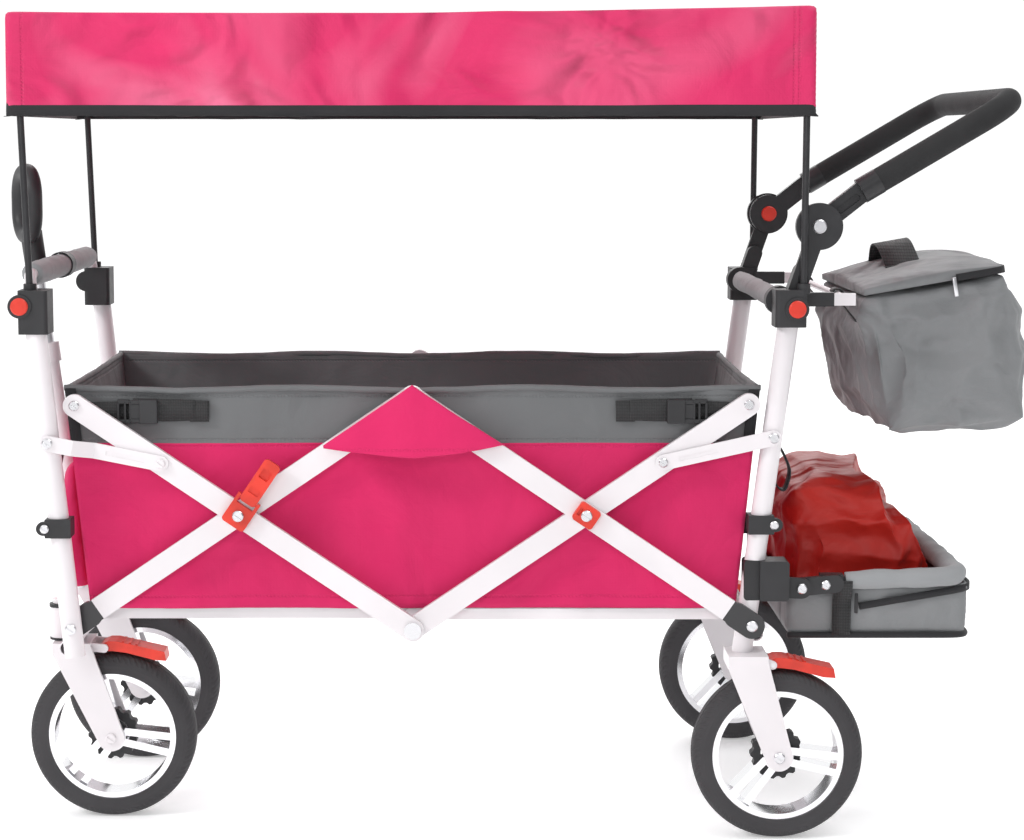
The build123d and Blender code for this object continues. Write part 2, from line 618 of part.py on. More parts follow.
bx, by, bz = (size / 2 for size in BAG_SIZE)
LID = 14.0
bag_height = 2 * bz - LID - 0.4
bag = Box(2 * bx, 2 * by, bag_height)
edge_rows = bag.edges().group_by(Axis.Z)
bag = fillet(edge_rows[0] + edge_rows[1], 12)
inside = Pos(0, 0, CLOTH) * Box(2 * bx - 2 * CLOTH, 2 * by - 2 * CLOTH, bag_height)
down = Pos(0, 0, -(LID + 0.4) / 2)
bag = in_bag(down * (bag - inside))
for y in (-130, 130):
    hanging_loop = slab(slot2(HANGER, (530, 596), 12), y - 14, y + 14) - in_bag(down * inside)
    bag += hanging_loop - rod_y(HANGER, -200, 200, 8 + 2 * FIT)
save("bag_body", bag)
lid = Pos(0, 0, bz - LID / 2) * fillet(Box(2 * bx, 2 * by, LID).edges().filter_by(Axis.Z), 12)
save("bag_lid", in_bag(lid))
handle_strap = Pos(-20, 0, bz + 14) * Box(32, 110, 3)
for y in (-53, 53):
    handle_strap += Pos(-20, y, bz + 6) * Box(32, 4, 19)
save("bag_lid", in_bag(handle_strap & Pos(0, 0, bz + 50) * Box(400, 400, 100)))

# ---- pull handle at the front ----
def along_pull(distance):
    angle = degrees(atan2(1, -PULL_LEAN))
    p = v2(PULL_PIVOT, distance, angle)
    return (p[0], 0.0, p[1])


PULL_OUTER_DIA = 22.0
PULL_INNER_DIA = 17.0
knuckle = rod_y(PULL_PIVOT, -15.9, 15.9, 24) - rod_y(PULL_PIVOT, -20, 20, 8 + 2 * FIT)
knuckle += rod(along_pull(9), along_pull(34), 26)
knuckle -= rod(along_pull(20), along_pull(40), PULL_OUTER_DIA)
knuckle -= rod_y(PULL_PIVOT, -20, 20, 8 + 2 * FIT)
save("pull_bar_lower", knuckle)
save("frame_screws_front", screw(PULL_PIVOT, -20, 20, 13) + rod_y(PULL_PIVOT, 20, 23, 13))
outer_tube = rod(along_pull(20), along_pull(292), PULL_OUTER_DIA)
outer_tube -= rod(along_pull(20), along_pull(292), PULL_INNER_DIA + 2 * FIT)
save("pull_bar_lower", outer_tube)
ferrule = rod(along_pull(280), along_pull(304), 28) - rod(along_pull(270), along_pull(292), PULL_OUTER_DIA)
ferrule -= rod(along_pull(270), along_pull(320), PULL_INNER_DIA + 2 * FIT)
save("pull_bar_lower", ferrule)
inner_tube = rod(along_pull(110), along_pull(412), PULL_INNER_DIA)
save("pull_bar_upper", inner_tube - rod(along_pull(100), along_pull(420), PULL_INNER_DIA - 3))

loop_centre = along_pull(478)
turn = radians(66)
loop_plane = Plane(origin=loop_centre, x_dir=(cos(turn), -sin(turn), 0), z_dir=(-sin(turn), -cos(turn), 0))
loop_path = (loop_plane * RectangleRounded(66, 78, 30)).wires()[0]
loop = sweep(Plane(origin=loop_path @ 0, z_dir=loop_path % 0) * Circle(11), path=loop_path)
loop += rod(along_pull(396), along_pull(444), 27)
loop -= rod(along_pull(380), along_pull(412), PULL_INNER_DIA)
save("pull_grip", loop)

# ---- plastic fittings on the uprights ----
def clip(front):
    z0, z1 = 360, 382
    x = upright_x(371, front)
    y = -FRONT_UPRIGHT_Y if front else -REAR_UPRIGHT_Y
    shape = box(x - 15, x + 15, y - 14.5, y + 14.5, z0, z1)
    side = 1 if front else -1
    shape += slab(slot2((x, 371), (x - side * 17, 371), 16), y - 14.5, y - 8)
    return fillet(shape.edges().filter_by(Axis.Y), 1) - upright(front, 330, 410)


def clip_screw(front):
    y = -FRONT_UPRIGHT_Y if front else -REAR_UPRIGHT_Y
    return screw((upright_x(371, front) - (15 if front else -15), 371), y - 14.5, y - 8, 10, 5)


save("front_fittings", *both(block_f), *both(clip(True) - clip_screw(True)))
save("rear_fittings", *both(block_r), *both(clip(False) - clip_screw(False)))
save("frame_screws_front", *both(clip_screw(True)))
save("frame_screws_rear", *both(clip_screw(False)))


# ---- sewn tub: sides, floor, flaps, ends and the side straps ----
side_outline = poly((-TUB_LOW_X, TUB_FLOOR_Z), (TUB_LOW_X, TUB_FLOOR_Z), (TUB_TOP_X, TUB_RIM_Z), (-TUB_TOP_X, TUB_RIM_Z))
save("tub_sides", *both(slab(side_outline, -TUB_HALF, -TUB_HALF - CLOTH)))
save("tub_floor", box(-TUB_LOW_X + 4, TUB_LOW_X - 4, -202, 202, TUB_FLOOR_Z - 2.5, TUB_FLOOR_Z))
flap = poly((0, 540), (96, 464), (40, 455), (0, 452), (-40, 456), (-104, 466))
save("tub_flaps", *both(slab(flap, SKIN - 4, SKIN - 7)))


def end_panel(sign):
    """Leaning end wall with a soft pocket bulging outwards."""
    wall = poly((sign * TUB_LOW_X, TUB_FLOOR_Z), (sign * TUB_TOP_X, TUB_RIM_Z),
                (sign * (TUB_TOP_X - CLOTH), TUB_RIM_Z), (sign * (TUB_LOW_X - CLOTH), TUB_FLOOR_Z))
    half = TUB_HALF - 1 if sign < 0 else TUB_HALF - 14
    return slab(wall, -half, half)


pocket = poly((-383, 285), (-403, 300), (-424, 330), (-425, 430), (-396, 446))
pockets = slab(pocket, -205, -40)
save("end_panel_front", end_panel(-1) + pockets + far(pockets))
hanging_strap = slab(poly((396, 468), (434, 468), (440, 462), (450, 420), (444, 398), (428, 398), (422, 418), (430, 458),
                          (396, 460)), -190, -186)
save("end_panel_rear", end_panel(1) + hanging_strap)
for sign in (-1, 1):
    webbing = box(sign * 234, sign * 372, -TUB_HALF - CLOTH - 2.2, -TUB_HALF - CLOTH - 0.3, 490, 516)
    buckle = box(sign * 290, sign * 338, -TUB_HALF - CLOTH - 3.4, -TUB_HALF - CLOTH - 2.2, 489, 517)
    save("side_straps", *both(webbing), *both(buckle))

# ---- canopy cover ----
cover = box(-CANOPY_HALF_X, CANOPY_HALF_X, -CANOPY_HALF_Y, CANOPY_HALF_Y, CANOPY_HEM_Z, CANOPY_TOP_Z)
cover = fillet(cover.edges().filter_by(Axis.Z), 10)
inside_x, inside_y = CANOPY_HALF_X - 3, CANOPY_HALF_Y - 3
hollow = box(-inside_x, inside_x, -inside_y, inside_y, CANOPY_HEM_Z - 1, CANOPY_TOP_Z - 2.6)
save("canopy_cover", cover - hollow)

for name, solids in made.items():
    node = Pos(-ORIGIN_X, 0, 0) * Compound(children=solids)
    export_step(node, f"parts/{name}.step")
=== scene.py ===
"""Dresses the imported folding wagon: sewn tub, canopy, cooler bag, tray, pads and every finish."""
import json
from math import cos, exp, pi, radians, sin

import bmesh
import bpy
from bpy.props import FloatProperty, FloatVectorProperty, IntProperty, PointerProperty
from mathutils import Matrix, Vector, noise


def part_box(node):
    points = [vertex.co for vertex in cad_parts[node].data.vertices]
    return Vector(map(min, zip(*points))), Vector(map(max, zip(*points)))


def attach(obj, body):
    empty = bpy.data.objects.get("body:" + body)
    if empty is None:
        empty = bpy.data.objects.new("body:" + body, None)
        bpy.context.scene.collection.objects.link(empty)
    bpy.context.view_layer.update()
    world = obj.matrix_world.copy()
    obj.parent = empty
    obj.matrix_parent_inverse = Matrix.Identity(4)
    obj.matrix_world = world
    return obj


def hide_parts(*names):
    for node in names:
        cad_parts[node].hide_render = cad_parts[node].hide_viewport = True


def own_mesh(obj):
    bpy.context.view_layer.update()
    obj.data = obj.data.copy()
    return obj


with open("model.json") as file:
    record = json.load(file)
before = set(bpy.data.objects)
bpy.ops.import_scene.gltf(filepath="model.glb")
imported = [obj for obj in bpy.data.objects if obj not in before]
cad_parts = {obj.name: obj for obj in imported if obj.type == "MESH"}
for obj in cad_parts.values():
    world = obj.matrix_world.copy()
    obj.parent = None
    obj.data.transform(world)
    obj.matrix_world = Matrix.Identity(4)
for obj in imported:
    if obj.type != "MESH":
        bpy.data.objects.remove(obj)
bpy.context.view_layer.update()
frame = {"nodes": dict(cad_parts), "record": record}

bl_info = {
    "name": "Folding Wagon Dresser",
    "version": (1, 0, 0),
    "blender": (4, 5, 0),
    "location": "View3D > Sidebar > Wagon",
    "description": "Builds the fabrics, trim and finishes of a folding pull wagon around its CAD frame",
    "category": "Add Mesh",
}

MM = 0.001


# ---------------------------------------------------------------- settings
def colour(name, value, note):
    return FloatVectorProperty(
        name=name, description=note, subtype="COLOR", size=3, min=0, max=1, default=value)


def length(name, value, note):
    return FloatProperty(name=name, description=note, default=value, min=0.0, subtype="DISTANCE", unit="LENGTH")


class WagonColours(bpy.types.PropertyGroup):
    """Colours of the wagon's finishes."""
    main_cloth: colour("Main cloth", (0.640, 0.014, 0.115), "Canopy, lower tub and pockets")
    grey_cloth: colour("Grey cloth", (0.155, 0.160, 0.164), "Tub band, bag, tray and pads")
    red_cloth: colour("Red cloth", (0.560, 0.018, 0.010), "Cover folded in the tray")
    frame_paint: colour("Frame paint", (0.790, 0.755, 0.775), "Powder coat on the tubes and bars")
    red_plastic: colour("Red plastic", (0.640, 0.035, 0.018), "Buttons, latches and pedals")
    black_plastic: colour("Black plastic", (0.022, 0.022, 0.024), "Blocks, clips and collars")
    tyre: colour("Tyre", (0.042, 0.040, 0.043), "Tyre rubber")


class WagonCloth(bpy.types.PropertyGroup):
    """Sizes of the sewn parts."""
    seam_height: length("Seam height", 0.465, "Height of the seam between the lower cloth and the grey band")
    canopy_sag: length("Canopy sag", 0.008, "How far the canopy's top hangs between its hoops")
    hem_width: length("Hem width", 0.013, "Width of the dark tape round the canopy")
    wrinkle: length("Wrinkle depth", 0.0030, "Depth of the creases in the tub's cloth")
    bag_wrinkle: length("Bag wrinkle depth", 0.0085, "Depth of the creases in the cooler bag")
    sim_frames: IntProperty(
        name="Simulated frames", description="Cloth frames for padded pieces", default=20, min=2)


def colours():
    return bpy.context.scene.wagon_colours


def cloth():
    return bpy.context.scene.wagon_cloth


# ---------------------------------------------------------------- node materials
# the two inputs and the result of a Mix node, by the kind of value that it mixes
MIX_SOCKETS = {"RGBA": (6, 7, 2), "FLOAT": (2, 3, 0)}


def mixed(tree, kind, fac, first, second):
    """Mixes two values or sockets."""
    node = tree.nodes.new("ShaderNodeMix")
    node.data_type = kind
    *inputs, result = MIX_SOCKETS[kind]
    for index, value in zip(inputs, (first, second)):
        if isinstance(value, bpy.types.NodeSocket):
            tree.links.new(value, node.inputs[index])
        else:
            node.inputs[index].default_value = value
    tree.links.new(fac, node.inputs[0])
    return node.outputs[result]


class Shader:
    """A Principled material that is wired up node by node."""

    def __init__(self, name, base, rough, metal=0.0, **sockets):
        self.material = bpy.data.materials.new(name)
        self.material.use_nodes = True
        self.tree = self.material.node_tree
        self.principled = self.tree.nodes["Principled BSDF"]
        self.base = (*base, 1.0)
        self.set("Base Color", self.base)
        self.set("Roughness", rough)
        self.set("Metallic", metal)
        for key, value in sockets.items():
            self.set(key.replace("_", " "), value)
        self.place = self.node("ShaderNodeTexCoord").outputs["Object"]
        self.height = None

    def set(self, socket, value):
        self.principled.inputs[socket].default_value = value

    def node(self, kind, links=(), **values):
        made = self.tree.nodes.new(kind)
        for key, value in values.items():
            if hasattr(made, key):
                setattr(made, key, value)
            else:
                made.inputs[key.replace("_", " ")].default_value = value
        for socket, source in dict(links).items():
            self.tree.links.new(source, made.inputs[socket])
        return made

    def noise(self, scale, detail=3.0, distortion=0.0, vector=None):
        links = {"Vector": vector or self.place}
        made = self.node("ShaderNodeTexNoise", links, Scale=scale, Detail=detail, Distortion=distortion)
        return made.outputs["Fac"]

    def wave(self, axis, scale):
        made = self.node("ShaderNodeTexWave", {"Vector": self.place}, Scale=scale, Distortion=0.0)
        made.bands_direction = axis
        return made.outputs["Fac"]

    def maths(self, operation, first, second=0.5):
        made = self.tree.nodes.new("ShaderNodeMath")
        made.operation = operation
        for socket, value in zip(made.inputs, (first, second)):
            if isinstance(value, (int, float)):
                socket.default_value = value
            else:
                self.tree.links.new(value, socket)
        return made.outputs[0]

    def ramp(self, fac, low, high):
        return self.node("ShaderNodeMapRange", {"Value": fac}, From_Min=low, From_Max=high).outputs["Result"]

    def bump(self, height, strength, distance=MM):
        links = {"Height": height}
        if self.height:
            links["Normal"] = self.height
        made = self.node("ShaderNodeBump", links, Strength=strength, Distance=distance)
        self.height = made.outputs["Normal"]
        self.tree.links.new(self.height, self.principled.inputs["Normal"])

    def tint(self, fac, dark=0.7, light=1.15):
        """Varies the base colour between a darker and a lighter one."""
        shades = [tuple(min(1.0, c * k) for c in self.base[:3]) + (1.0,) for k in (dark, light)]
        self.tree.links.new(mixed(self.tree, "RGBA", fac, *shades), self.principled.inputs["Base Color"])

    def over(self, mask, base, rough, metal=0.0):
        """Gives the masked area another colour, roughness and metalness."""
        for key, value in (("Base Color", (*base, 1.0)), ("Roughness", rough), ("Metallic", metal)):
            socket = self.principled.inputs[key]
            before = socket.links[0].from_socket if socket.is_linked else socket.default_value
            kind = "RGBA" if key == "Base Color" else "FLOAT"
            self.tree.links.new(mixed(self.tree, kind, mask, before, value), socket)

    def axes(self):
        return self.node("ShaderNodeSeparateXYZ", {"Vector": self.place}).outputs

    def beyond(self, half_width):
        """Where the piece stands further than that from the middle plane."""
        return self.maths("GREATER_THAN", self.maths("ABSOLUTE", self.axes()["Y"]), half_width)

    def within(self, start, towards, reach):
        """Where a point lies less than reach from start, measured towards another point."""
        way = Vector((towards[0] - start[0], 0, towards[2] - start[2])).normalized()
        xyz = self.axes()
        along = [self.maths("MULTIPLY", self.maths("SUBTRACT", xyz[axis], start[i]), way[i])
                 for i, axis in ((0, "X"), (2, "Z"))]
        return self.maths("LESS_THAN", self.maths("ADD", *along), reach)

    def rough(self, fac, low, high):
        made = self.node("ShaderNodeMapRange", {"Value": fac}, To_Min=low, To_Max=high)
        self.tree.links.new(made.outputs["Result"], self.principled.inputs["Roughness"])


def woven(name, base, thread=0.0009, crease=0.5, sheen=0.15, stitch=(), gloss=0.0, drape=0.0, painted_sheen=None):
    """Plain-weave polyester with creases; stitch lists (axis, place) of sewn rows, drape is the depth of
    broad folds, and the last argument is a lighter colour painted in patches as sheen highlights, given as
    (colour, share)."""
    s = Shader(name, base, 0.72, Sheen_Weight=sheen, Sheen_Roughness=0.5, Specular_IOR_Level=0.3 + gloss / 2)
    threads = 0.5 * pi / thread / 10
    weave = s.maths("MULTIPLY", s.wave("X", threads), s.wave("Z", threads))
    weave = s.maths("ADD", weave, s.maths("MULTIPLY", s.wave("Y", threads), 0.5))
    creases = s.noise(13.0, 4.0, 1.2)
    s.tint(s.ramp(s.noise(4.0, 4.0), 0.35, 0.7), 0.9, 1.07)
    s.rough(creases, 0.62 - gloss, 0.86 - gloss)
    s.bump(weave, 0.25, 0.25 * MM)
    s.bump(creases, crease, 6 * MM)
    if drape:
        s.bump(s.noise(7.0, 1.5, 1.4), 1.0, drape)
    # painted sheen: lighter patches mixed into the base colour stand in for highlights on the nylon
    if painted_sheen:
        patches = s.ramp(s.noise(3.4, 2.5, 1.2), 0.5, 0.72)
        s.over(s.maths("MULTIPLY", patches, painted_sheen[1]), painted_sheen[0], 0.5)
    for axis, at in stitch:
        s.bump(stitch_rows(s, axis, at), 0.9, 0.8 * MM)
    return s.material


STITCH_LENGTH = 0.0042
STITCH_EDGE = (0.0006, 0.0018)


def stitch_rows(s, axis, at):
    """A dashed groove on the plane where that coordinate is at the given place."""
    parts = s.axes()
    distance = s.maths("ABSOLUTE", s.maths("SUBTRACT", parts[axis], at))
    line = s.ramp(distance, *STITCH_EDGE)
    along = s.maths("ADD", parts["X" if axis != "X" else "Z"], parts["Y"])
    dash = s.ramp(s.maths("SINE", s.maths("MULTIPLY", along, 2 * pi / STITCH_LENGTH)), -0.4, 0.3)
    return s.maths("MAXIMUM", line, s.maths("MULTIPLY", dash, 0.6))


# colour, roughness and metalness
STEEL = ((0.66, 0.66, 0.68), 0.25, 1.0)
BLACK = ((0.022, 0.022, 0.024), 0.48, 0.0)


def painted(name, base, heads=None, cap=None):
    """Powder coat; heads is where screw heads start, cap is a black end as (pivot, along, reach)."""
    s = Shader(name, base, 0.34, Coat_Weight=0.3, Coat_Roughness=0.14)
    s.tint(s.ramp(s.noise(7.0, 3.0), 0.4, 0.62), 0.955, 1.02)
    s.rough(s.noise(60.0, 4.0), 0.27, 0.42)
    s.bump(s.noise(900.0, 2.0), 0.12, 0.3 * MM)
    if cap:
        s.over(s.within(*cap), *BLACK)
    if heads:
        s.over(s.beyond(heads), *STEEL)
    return s.material


def moulded(name, base, rough=0.5, grain=0.35, heads=None):
    s = Shader(name, base, rough, Specular_IOR_Level=0.45)
    s.tint(s.ramp(s.noise(30.0, 3.0), 0.35, 0.65), 0.86, 1.2)
    s.rough(s.noise(120.0, 3.0), rough - 0.08, rough + 0.1)
    s.bump(s.noise(1400.0, 2.0), grain, 0.25 * MM)
    if heads:
        s.over(s.beyond(heads), *STEEL)
    return s.material


def metal(name, base, rough, brushed=0.2):
    s = Shader(name, base, rough, 1.0)
    s.rough(s.noise(90.0, 4.0, 0.5), rough * 0.7, rough * 1.5)
    s.bump(s.noise(500.0, 3.0), brushed, 0.1 * MM)
    return s.material


def chromed(name, base):
    """Chrome plate with painted reflections: near-black and bright patches in its base colour."""
    s = Shader(name, base, 0.07, Metallic=1.0)
    # painted reflection: the base colour swings between near-black and full brightness in patches
    s.tint(s.ramp(s.noise(46.0, 1.5, 0.6), 0.44, 0.55), 0.03, 1.0)
    s.rough(s.noise(50.0, 3.0), 0.05, 0.12)
    return s.material


def foam(name, base):
    s = Shader(name, base, 0.82, Specular_IOR_Level=0.35)
    cells = s.node("ShaderNodeTexVoronoi", {"Vector": s.place}, Scale=900.0).outputs["Distance"]
    s.bump(cells, 0.35, 0.5 * MM)
    s.rough(s.noise(40.0, 3.0), 0.72, 0.92)
    s.tint(s.noise(22.0, 3.0), 0.8, 1.2)
    return s.material


def webbing(name, base):
    s = Shader(name, base, 0.68, Sheen_Weight=0.1)
    ribs = s.maths("ADD", s.wave("X", 110.0), s.wave("Z", 90.0))
    s.bump(ribs, 0.55, 0.5 * MM)
    s.bump(s.noise(500.0, 3.0), 0.3, 0.3 * MM)
    s.tint(s.ramp(ribs, 0.3, 1.6), 0.7, 1.4)
    return s.material


def tyre_rubber(name, base, hub, radius):
    """Rubber with small blocks pressed round the running surface."""
    s = Shader(name, base, 0.66, Specular_IOR_Level=0.4)
    mapping = s.node("ShaderNodeMapping", {"Vector": s.place}, Location=[-c for c in hub])
    xyz = s.node("ShaderNodeSeparateXYZ", {"Vector": mapping.outputs["Vector"]}).outputs
    angle = s.maths("ARCTAN2", xyz["Z"], xyz["X"])
    skew = s.maths("MULTIPLY", s.maths("ABSOLUTE", xyz["Y"]), 9.0)
    blocks = s.maths("SINE", s.maths("MULTIPLY", s.maths("ADD", angle, skew), 84.0))
    flat = s.node("ShaderNodeCombineXYZ", {"X": xyz["X"], "Z": xyz["Z"]}).outputs[0]
    reach = s.node("ShaderNodeVectorMath", {0: flat}, operation="LENGTH").outputs["Value"]
    tread = s.ramp(reach, radius - 0.010, radius - 0.004)
    s.bump(s.maths("MULTIPLY", s.ramp(blocks, -0.4, 0.1), tread), 0.9, 1.4 * MM)
    rings = s.maths("SINE", s.maths("MULTIPLY", reach, 2 * pi / 0.0045))
    side = s.maths("MULTIPLY", s.ramp(rings, 0.2, 0.8), s.maths("SUBTRACT", 1.0, tread))
    s.bump(side, 0.25, 0.5 * MM)
    s.bump(s.noise(700.0, 3.0), 0.25, 0.2 * MM)
    s.tint(s.noise(16.0, 3.0), 0.8, 1.25)
    s.rough(s.noise(50.0, 3.0), 0.56, 0.76)
    return s.material


# ---------------------------------------------------------------- mesh helpers
def node_box(name):
    low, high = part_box(name)
    return Vector(low), Vector(high)


def middle(name):
    low, high = node_box(name)
    return (low + high) / 2


def add_piece(name, bm, materials, smooth=True):
    """Makes the finished object from a bmesh."""
    mesh = bpy.data.meshes.new(name)
    bm.to_mesh(mesh)
    bm.free()
    if smooth:
        mesh.polygons.foreach_set("use_smooth", [True] * len(mesh.polygons))
    for material in materials if isinstance(materials, (list, tuple)) else [materials]:
        mesh.materials.append(material)
    piece = bpy.data.objects.new(name, mesh)
    bpy.context.scene.collection.objects.link(piece)
    return piece


def grid(columns, rows, place):
    """A plane sheet whose points are moved to place(u, v), with u and v from 0 to 1."""
    bm = bmesh.new()
    bmesh.ops.create_grid(bm, x_segments=columns, y_segments=rows, size=0.5)
    for vertex in bm.verts:
        vertex.co = Vector(place(vertex.co.x + 0.5, vertex.co.y + 0.5))
    return bm


def thicken(bm, thickness):
    """Gives a sheet its second face."""
    bmesh.ops.solidify(bm, geom=bm.faces[:], thickness=thickness)


def face_towards(bm, axis, way):
    """Turns a sheet so that most of it looks along way on that axis."""
    bmesh.ops.recalc_face_normals(bm, faces=bm.faces)
    if sum(face.normal[axis] for face in bm.faces) * way < 0:
        bmesh.ops.reverse_faces(bm, faces=bm.faces)


def weld(bm, distance=0.00005):
    bmesh.ops.remove_doubles(bm, verts=bm.verts, dist=distance)
    bmesh.ops.recalc_face_normals(bm, faces=bm.faces)


def rounded_block(low, high, radius, segments=3, bm=None):
    """A box with every edge rounded."""
    bm = bm or bmesh.new()
    low, high = Vector(low), Vector(high)
    made = bmesh.ops.create_cube(bm, size=1.0)["verts"]
    bmesh.ops.scale(bm, vec=high - low, verts=made)
    bmesh.ops.translate(bm, vec=(low + high) / 2, verts=made)
    edges = list({edge for vertex in made for edge in vertex.link_edges})
    bmesh.ops.bevel(bm, geom=edges, offset=radius, segments=segments, profile=0.5, affect="EDGES", material=-1)
    return bm


def path_points(corners, step):
    """Evenly stepped points along a run of straight lines."""
    points = [Vector(corners[0])]
    for start, end in zip(corners, corners[1:]):
        start, end = Vector(start), Vector(end)
        count = max(1, round((end - start).length / step))
        points += [start.lerp(end, (i + 1) / count) for i in range(count)]
    return points


def eased(points, rounds=3):
    """Rounds the corners of a run of points."""
    for _ in range(rounds):
        inner = [(a + 2 * b + c) / 4 for a, b, c in zip(points, points[1:], points[2:])]
        points = [points[0]] + inner + [points[-1]]
    return points


def directions(points):
    steps = [b - a for a, b in zip(points, points[1:])]
    steps.append(steps[-1])
    return [step.normalized() for step in steps]


def sweep(points, section, side, bm=None, lift=None):
    """Carries a closed section along points; the section's first axis lies along side, made square."""
    bm = bm or bmesh.new()
    rings = []
    for index, (point, forward) in enumerate(zip(points, directions(points))):
        across = Vector(side[index] if isinstance(side, list) else side)
        across = (across - across.dot(forward) * forward).normalized()
        up = forward.cross(across)
        scale = lift(index / (len(points) - 1)) if lift else 1.0
        rings.append([bm.verts.new(point + across * a * scale + up * b * scale) for a, b in section])
    for first, second in zip(rings, rings[1:]):
        loops = [[bm.edges.get((r[i], r[i - 1])) or bm.edges.new((r[i], r[i - 1])) for i in range(len(r))]
                 for r in (first, second)]
        bmesh.ops.bridge_loops(bm, edges=loops[0] + loops[1])
    for ring in (rings[0], rings[-1]):
        bm.faces.new(ring)
    bmesh.ops.recalc_face_normals(bm, faces=bm.faces)
    return bm


def round_section(radius, count=12, flat=1.0):
    turns = [2 * pi * i / count for i in range(count)]
    return [(radius * cos(t), radius * flat * sin(t)) for t in turns]


def tape_section(width, thickness):
    w, t = width / 2, thickness / 2
    return [(-w, -t), (w, -t), (w, t), (-w, t)]


def ripple(point, scale, depth, seed=0.0):
    """Smooth random height at a point, between minus and plus depth."""
    p = Vector(point) * scale + Vector((seed, seed * 0.37, seed * 0.71))
    return depth * (noise.noise(p) + 0.5 * noise.noise(p * 2.1) + 0.25 * noise.noise(p * 4.3)) / 1.3


def crease(point, scale, depth, seed=0.0):
    """Sharp-edged folds, as in stiff cloth: zero on the folds and deepest between them."""
    p = Vector(point) * scale + Vector((seed, seed * 0.37, seed * 0.71))
    return depth * (1 - abs(noise.noise(p)) * 2.2) * (0.6 + 0.4 * noise.noise(p * 0.6))


def push(bm, amount):
    """Moves every point along its normal by amount(point, normal)."""
    bm.normal_update()
    moves = [(vertex, vertex.normal * amount(vertex.co, vertex.normal)) for vertex in bm.verts]
    for vertex, move in moves:
        vertex.co += move


def inflate(piece, voxel, cap, pressure=4.0, stiff=15.0):
    """Swells a closed piece with the cloth simulator and keeps the result in its mesh."""
    scene = bpy.context.scene
    materials = list(piece.data.materials)
    remesh = piece.modifiers.new("Remesh", "REMESH")
    remesh.mode = "VOXEL"
    remesh.voxel_size = voxel
    bake(piece)
    start = [vertex.co.copy() for vertex in piece.data.vertices]
    solver = piece.modifiers.new("Cloth", "CLOTH")
    solver.settings.use_pressure = True
    solver.settings.uniform_pressure_force = pressure
    solver.settings.quality = 5
    solver.settings.tension_stiffness = stiff
    solver.settings.compression_stiffness = stiff
    solver.settings.bending_stiffness = 0.6
    solver.settings.effector_weights.gravity = 0
    solver.collision_settings.use_collision = False
    solver.point_cache.frame_start = 1
    solver.point_cache.frame_end = cloth().sim_frames
    for number in range(1, cloth().sim_frames + 1):
        scene.frame_set(number)
    bake(piece)
    scene.frame_set(1)
    for vertex, before in zip(piece.data.vertices, start):
        move = vertex.co - before
        if move.length > cap:
            vertex.co = before + move.normalized() * cap
    divide = piece.modifiers.new("Subdivision", "SUBSURF")
    divide.levels = divide.render_levels = 1
    bake(piece)
    return shade_smooth(piece, materials)


def bake(piece):
    """Applies the piece's modifiers to its mesh."""
    graph = bpy.context.evaluated_depsgraph_get()
    done = bpy.data.meshes.new_from_object(piece.evaluated_get(graph))
    old, piece.data = piece.data, done
    done.name = old.name
    piece.modifiers.clear()
    bpy.data.meshes.remove(old)


def shade_smooth(piece, materials):
    mesh = piece.data
    mesh.materials.clear()
    for material in materials:
        mesh.materials.append(material)
    mesh.polygons.foreach_set("use_smooth", [True] * len(mesh.polygons))
    return piece


def dress(piece, body, slot, *nodes):
    """Puts the piece on its body and takes the place of CAD nodes."""
    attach(piece, body)
    if nodes:
        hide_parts(*nodes)
    return piece


def trim(name, bm, finish, body, slot, *nodes):
    """Makes a piece with one finish and puts it on its body."""
    return dress(add_piece(name, bm, material(finish)), body, slot, *nodes)


def tent(centre, half_x, half_y, z_flat, z_edge, step, shape):
    """One sheet that covers a rectangle at z_flat and turns down, or up, to its edge at z_edge."""
    drop = abs(z_edge - z_flat)
    columns, rows = (round(2 * (half + drop) / step) for half in (half_x, half_y))

    def place(u, v):
        a, b = (2 * u - 1) * (half_x + drop), (2 * v - 1) * (half_y + drop)
        past_x, past_y = abs(a) - half_x, abs(b) - half_y
        past = max(past_x, past_y, 0.0)
        if past == 0.0:
            x, y = a, b
        elif past_x >= past_y:
            x, y = half_x * (1 if a > 0 else -1), b * half_y / (half_y + past)
        else:
            x, y = a * half_x / (half_x + past), half_y * (1 if b > 0 else -1)
        z = z_flat + (z_edge - z_flat) * past / drop
        return shape(Vector((centre.x + x, centre.y + y, z)), past / drop)

    return grid(columns, rows, place)


def soften(bm, keep_z, rounds):
    """Rounds the folds of a sheet but leaves its edge at keep_z alone."""
    inner = [vertex for vertex in bm.verts if abs(vertex.co.z - keep_z) > 0.004]
    for _ in range(rounds):
        bmesh.ops.smooth_vert(bm, verts=inner, factor=0.5, use_axis_x=True, use_axis_y=True, use_axis_z=True)


def paint_faces(bm, index, test):
    for face in bm.faces:
        if test(face.calc_center_median(), face.normal):
            face.material_index = index


def material(name):
    return bpy.data.materials[name]


# ---------------------------------------------------------------- places taken from the frame
JOINTS = frame["record"]["behaviour"]["joints"]
PIVOTS = {joint["name"]: joint["pos_m"] for joint in JOINTS if joint.get("pos_m")}
SIDE_LOW, SIDE_HIGH = node_box("tub_sides")
FLOOR_LOW, FLOOR_HIGH = node_box("tub_floor")
TUB = (SIDE_LOW + SIDE_HIGH) / 2
HALF_TOP = (SIDE_HIGH.x - SIDE_LOW.x) / 2
HALF_LOW = (FLOOR_HIGH.x - FLOOR_LOW.x) / 2 + 4 * MM
SIDE_Y = SIDE_HIGH.y - 2.5 * MM
RIM_Z = SIDE_HIGH.z
BASE_Z = SIDE_LOW.z
NEAR_FAR = {-1: "near", 1: "far"}
FRONT_REAR = {-1: "front", 1: "rear"}
TUB_CLOTH = 3 * MM
THIN_CLOTH = 1.2 * MM
FOLD_KEEP_TUB = 280.0 / 808.0
FOLD_KEEP_CANOPY = 370.0 / 898.0
BAG_TURN = Matrix.Translation((516.1 * MM, 0, 566 * MM)) @ Matrix.Rotation(radians(-10.0), 4, "Y")
BAG_HALF = Vector((93 * MM, 180 * MM, 88 * MM))


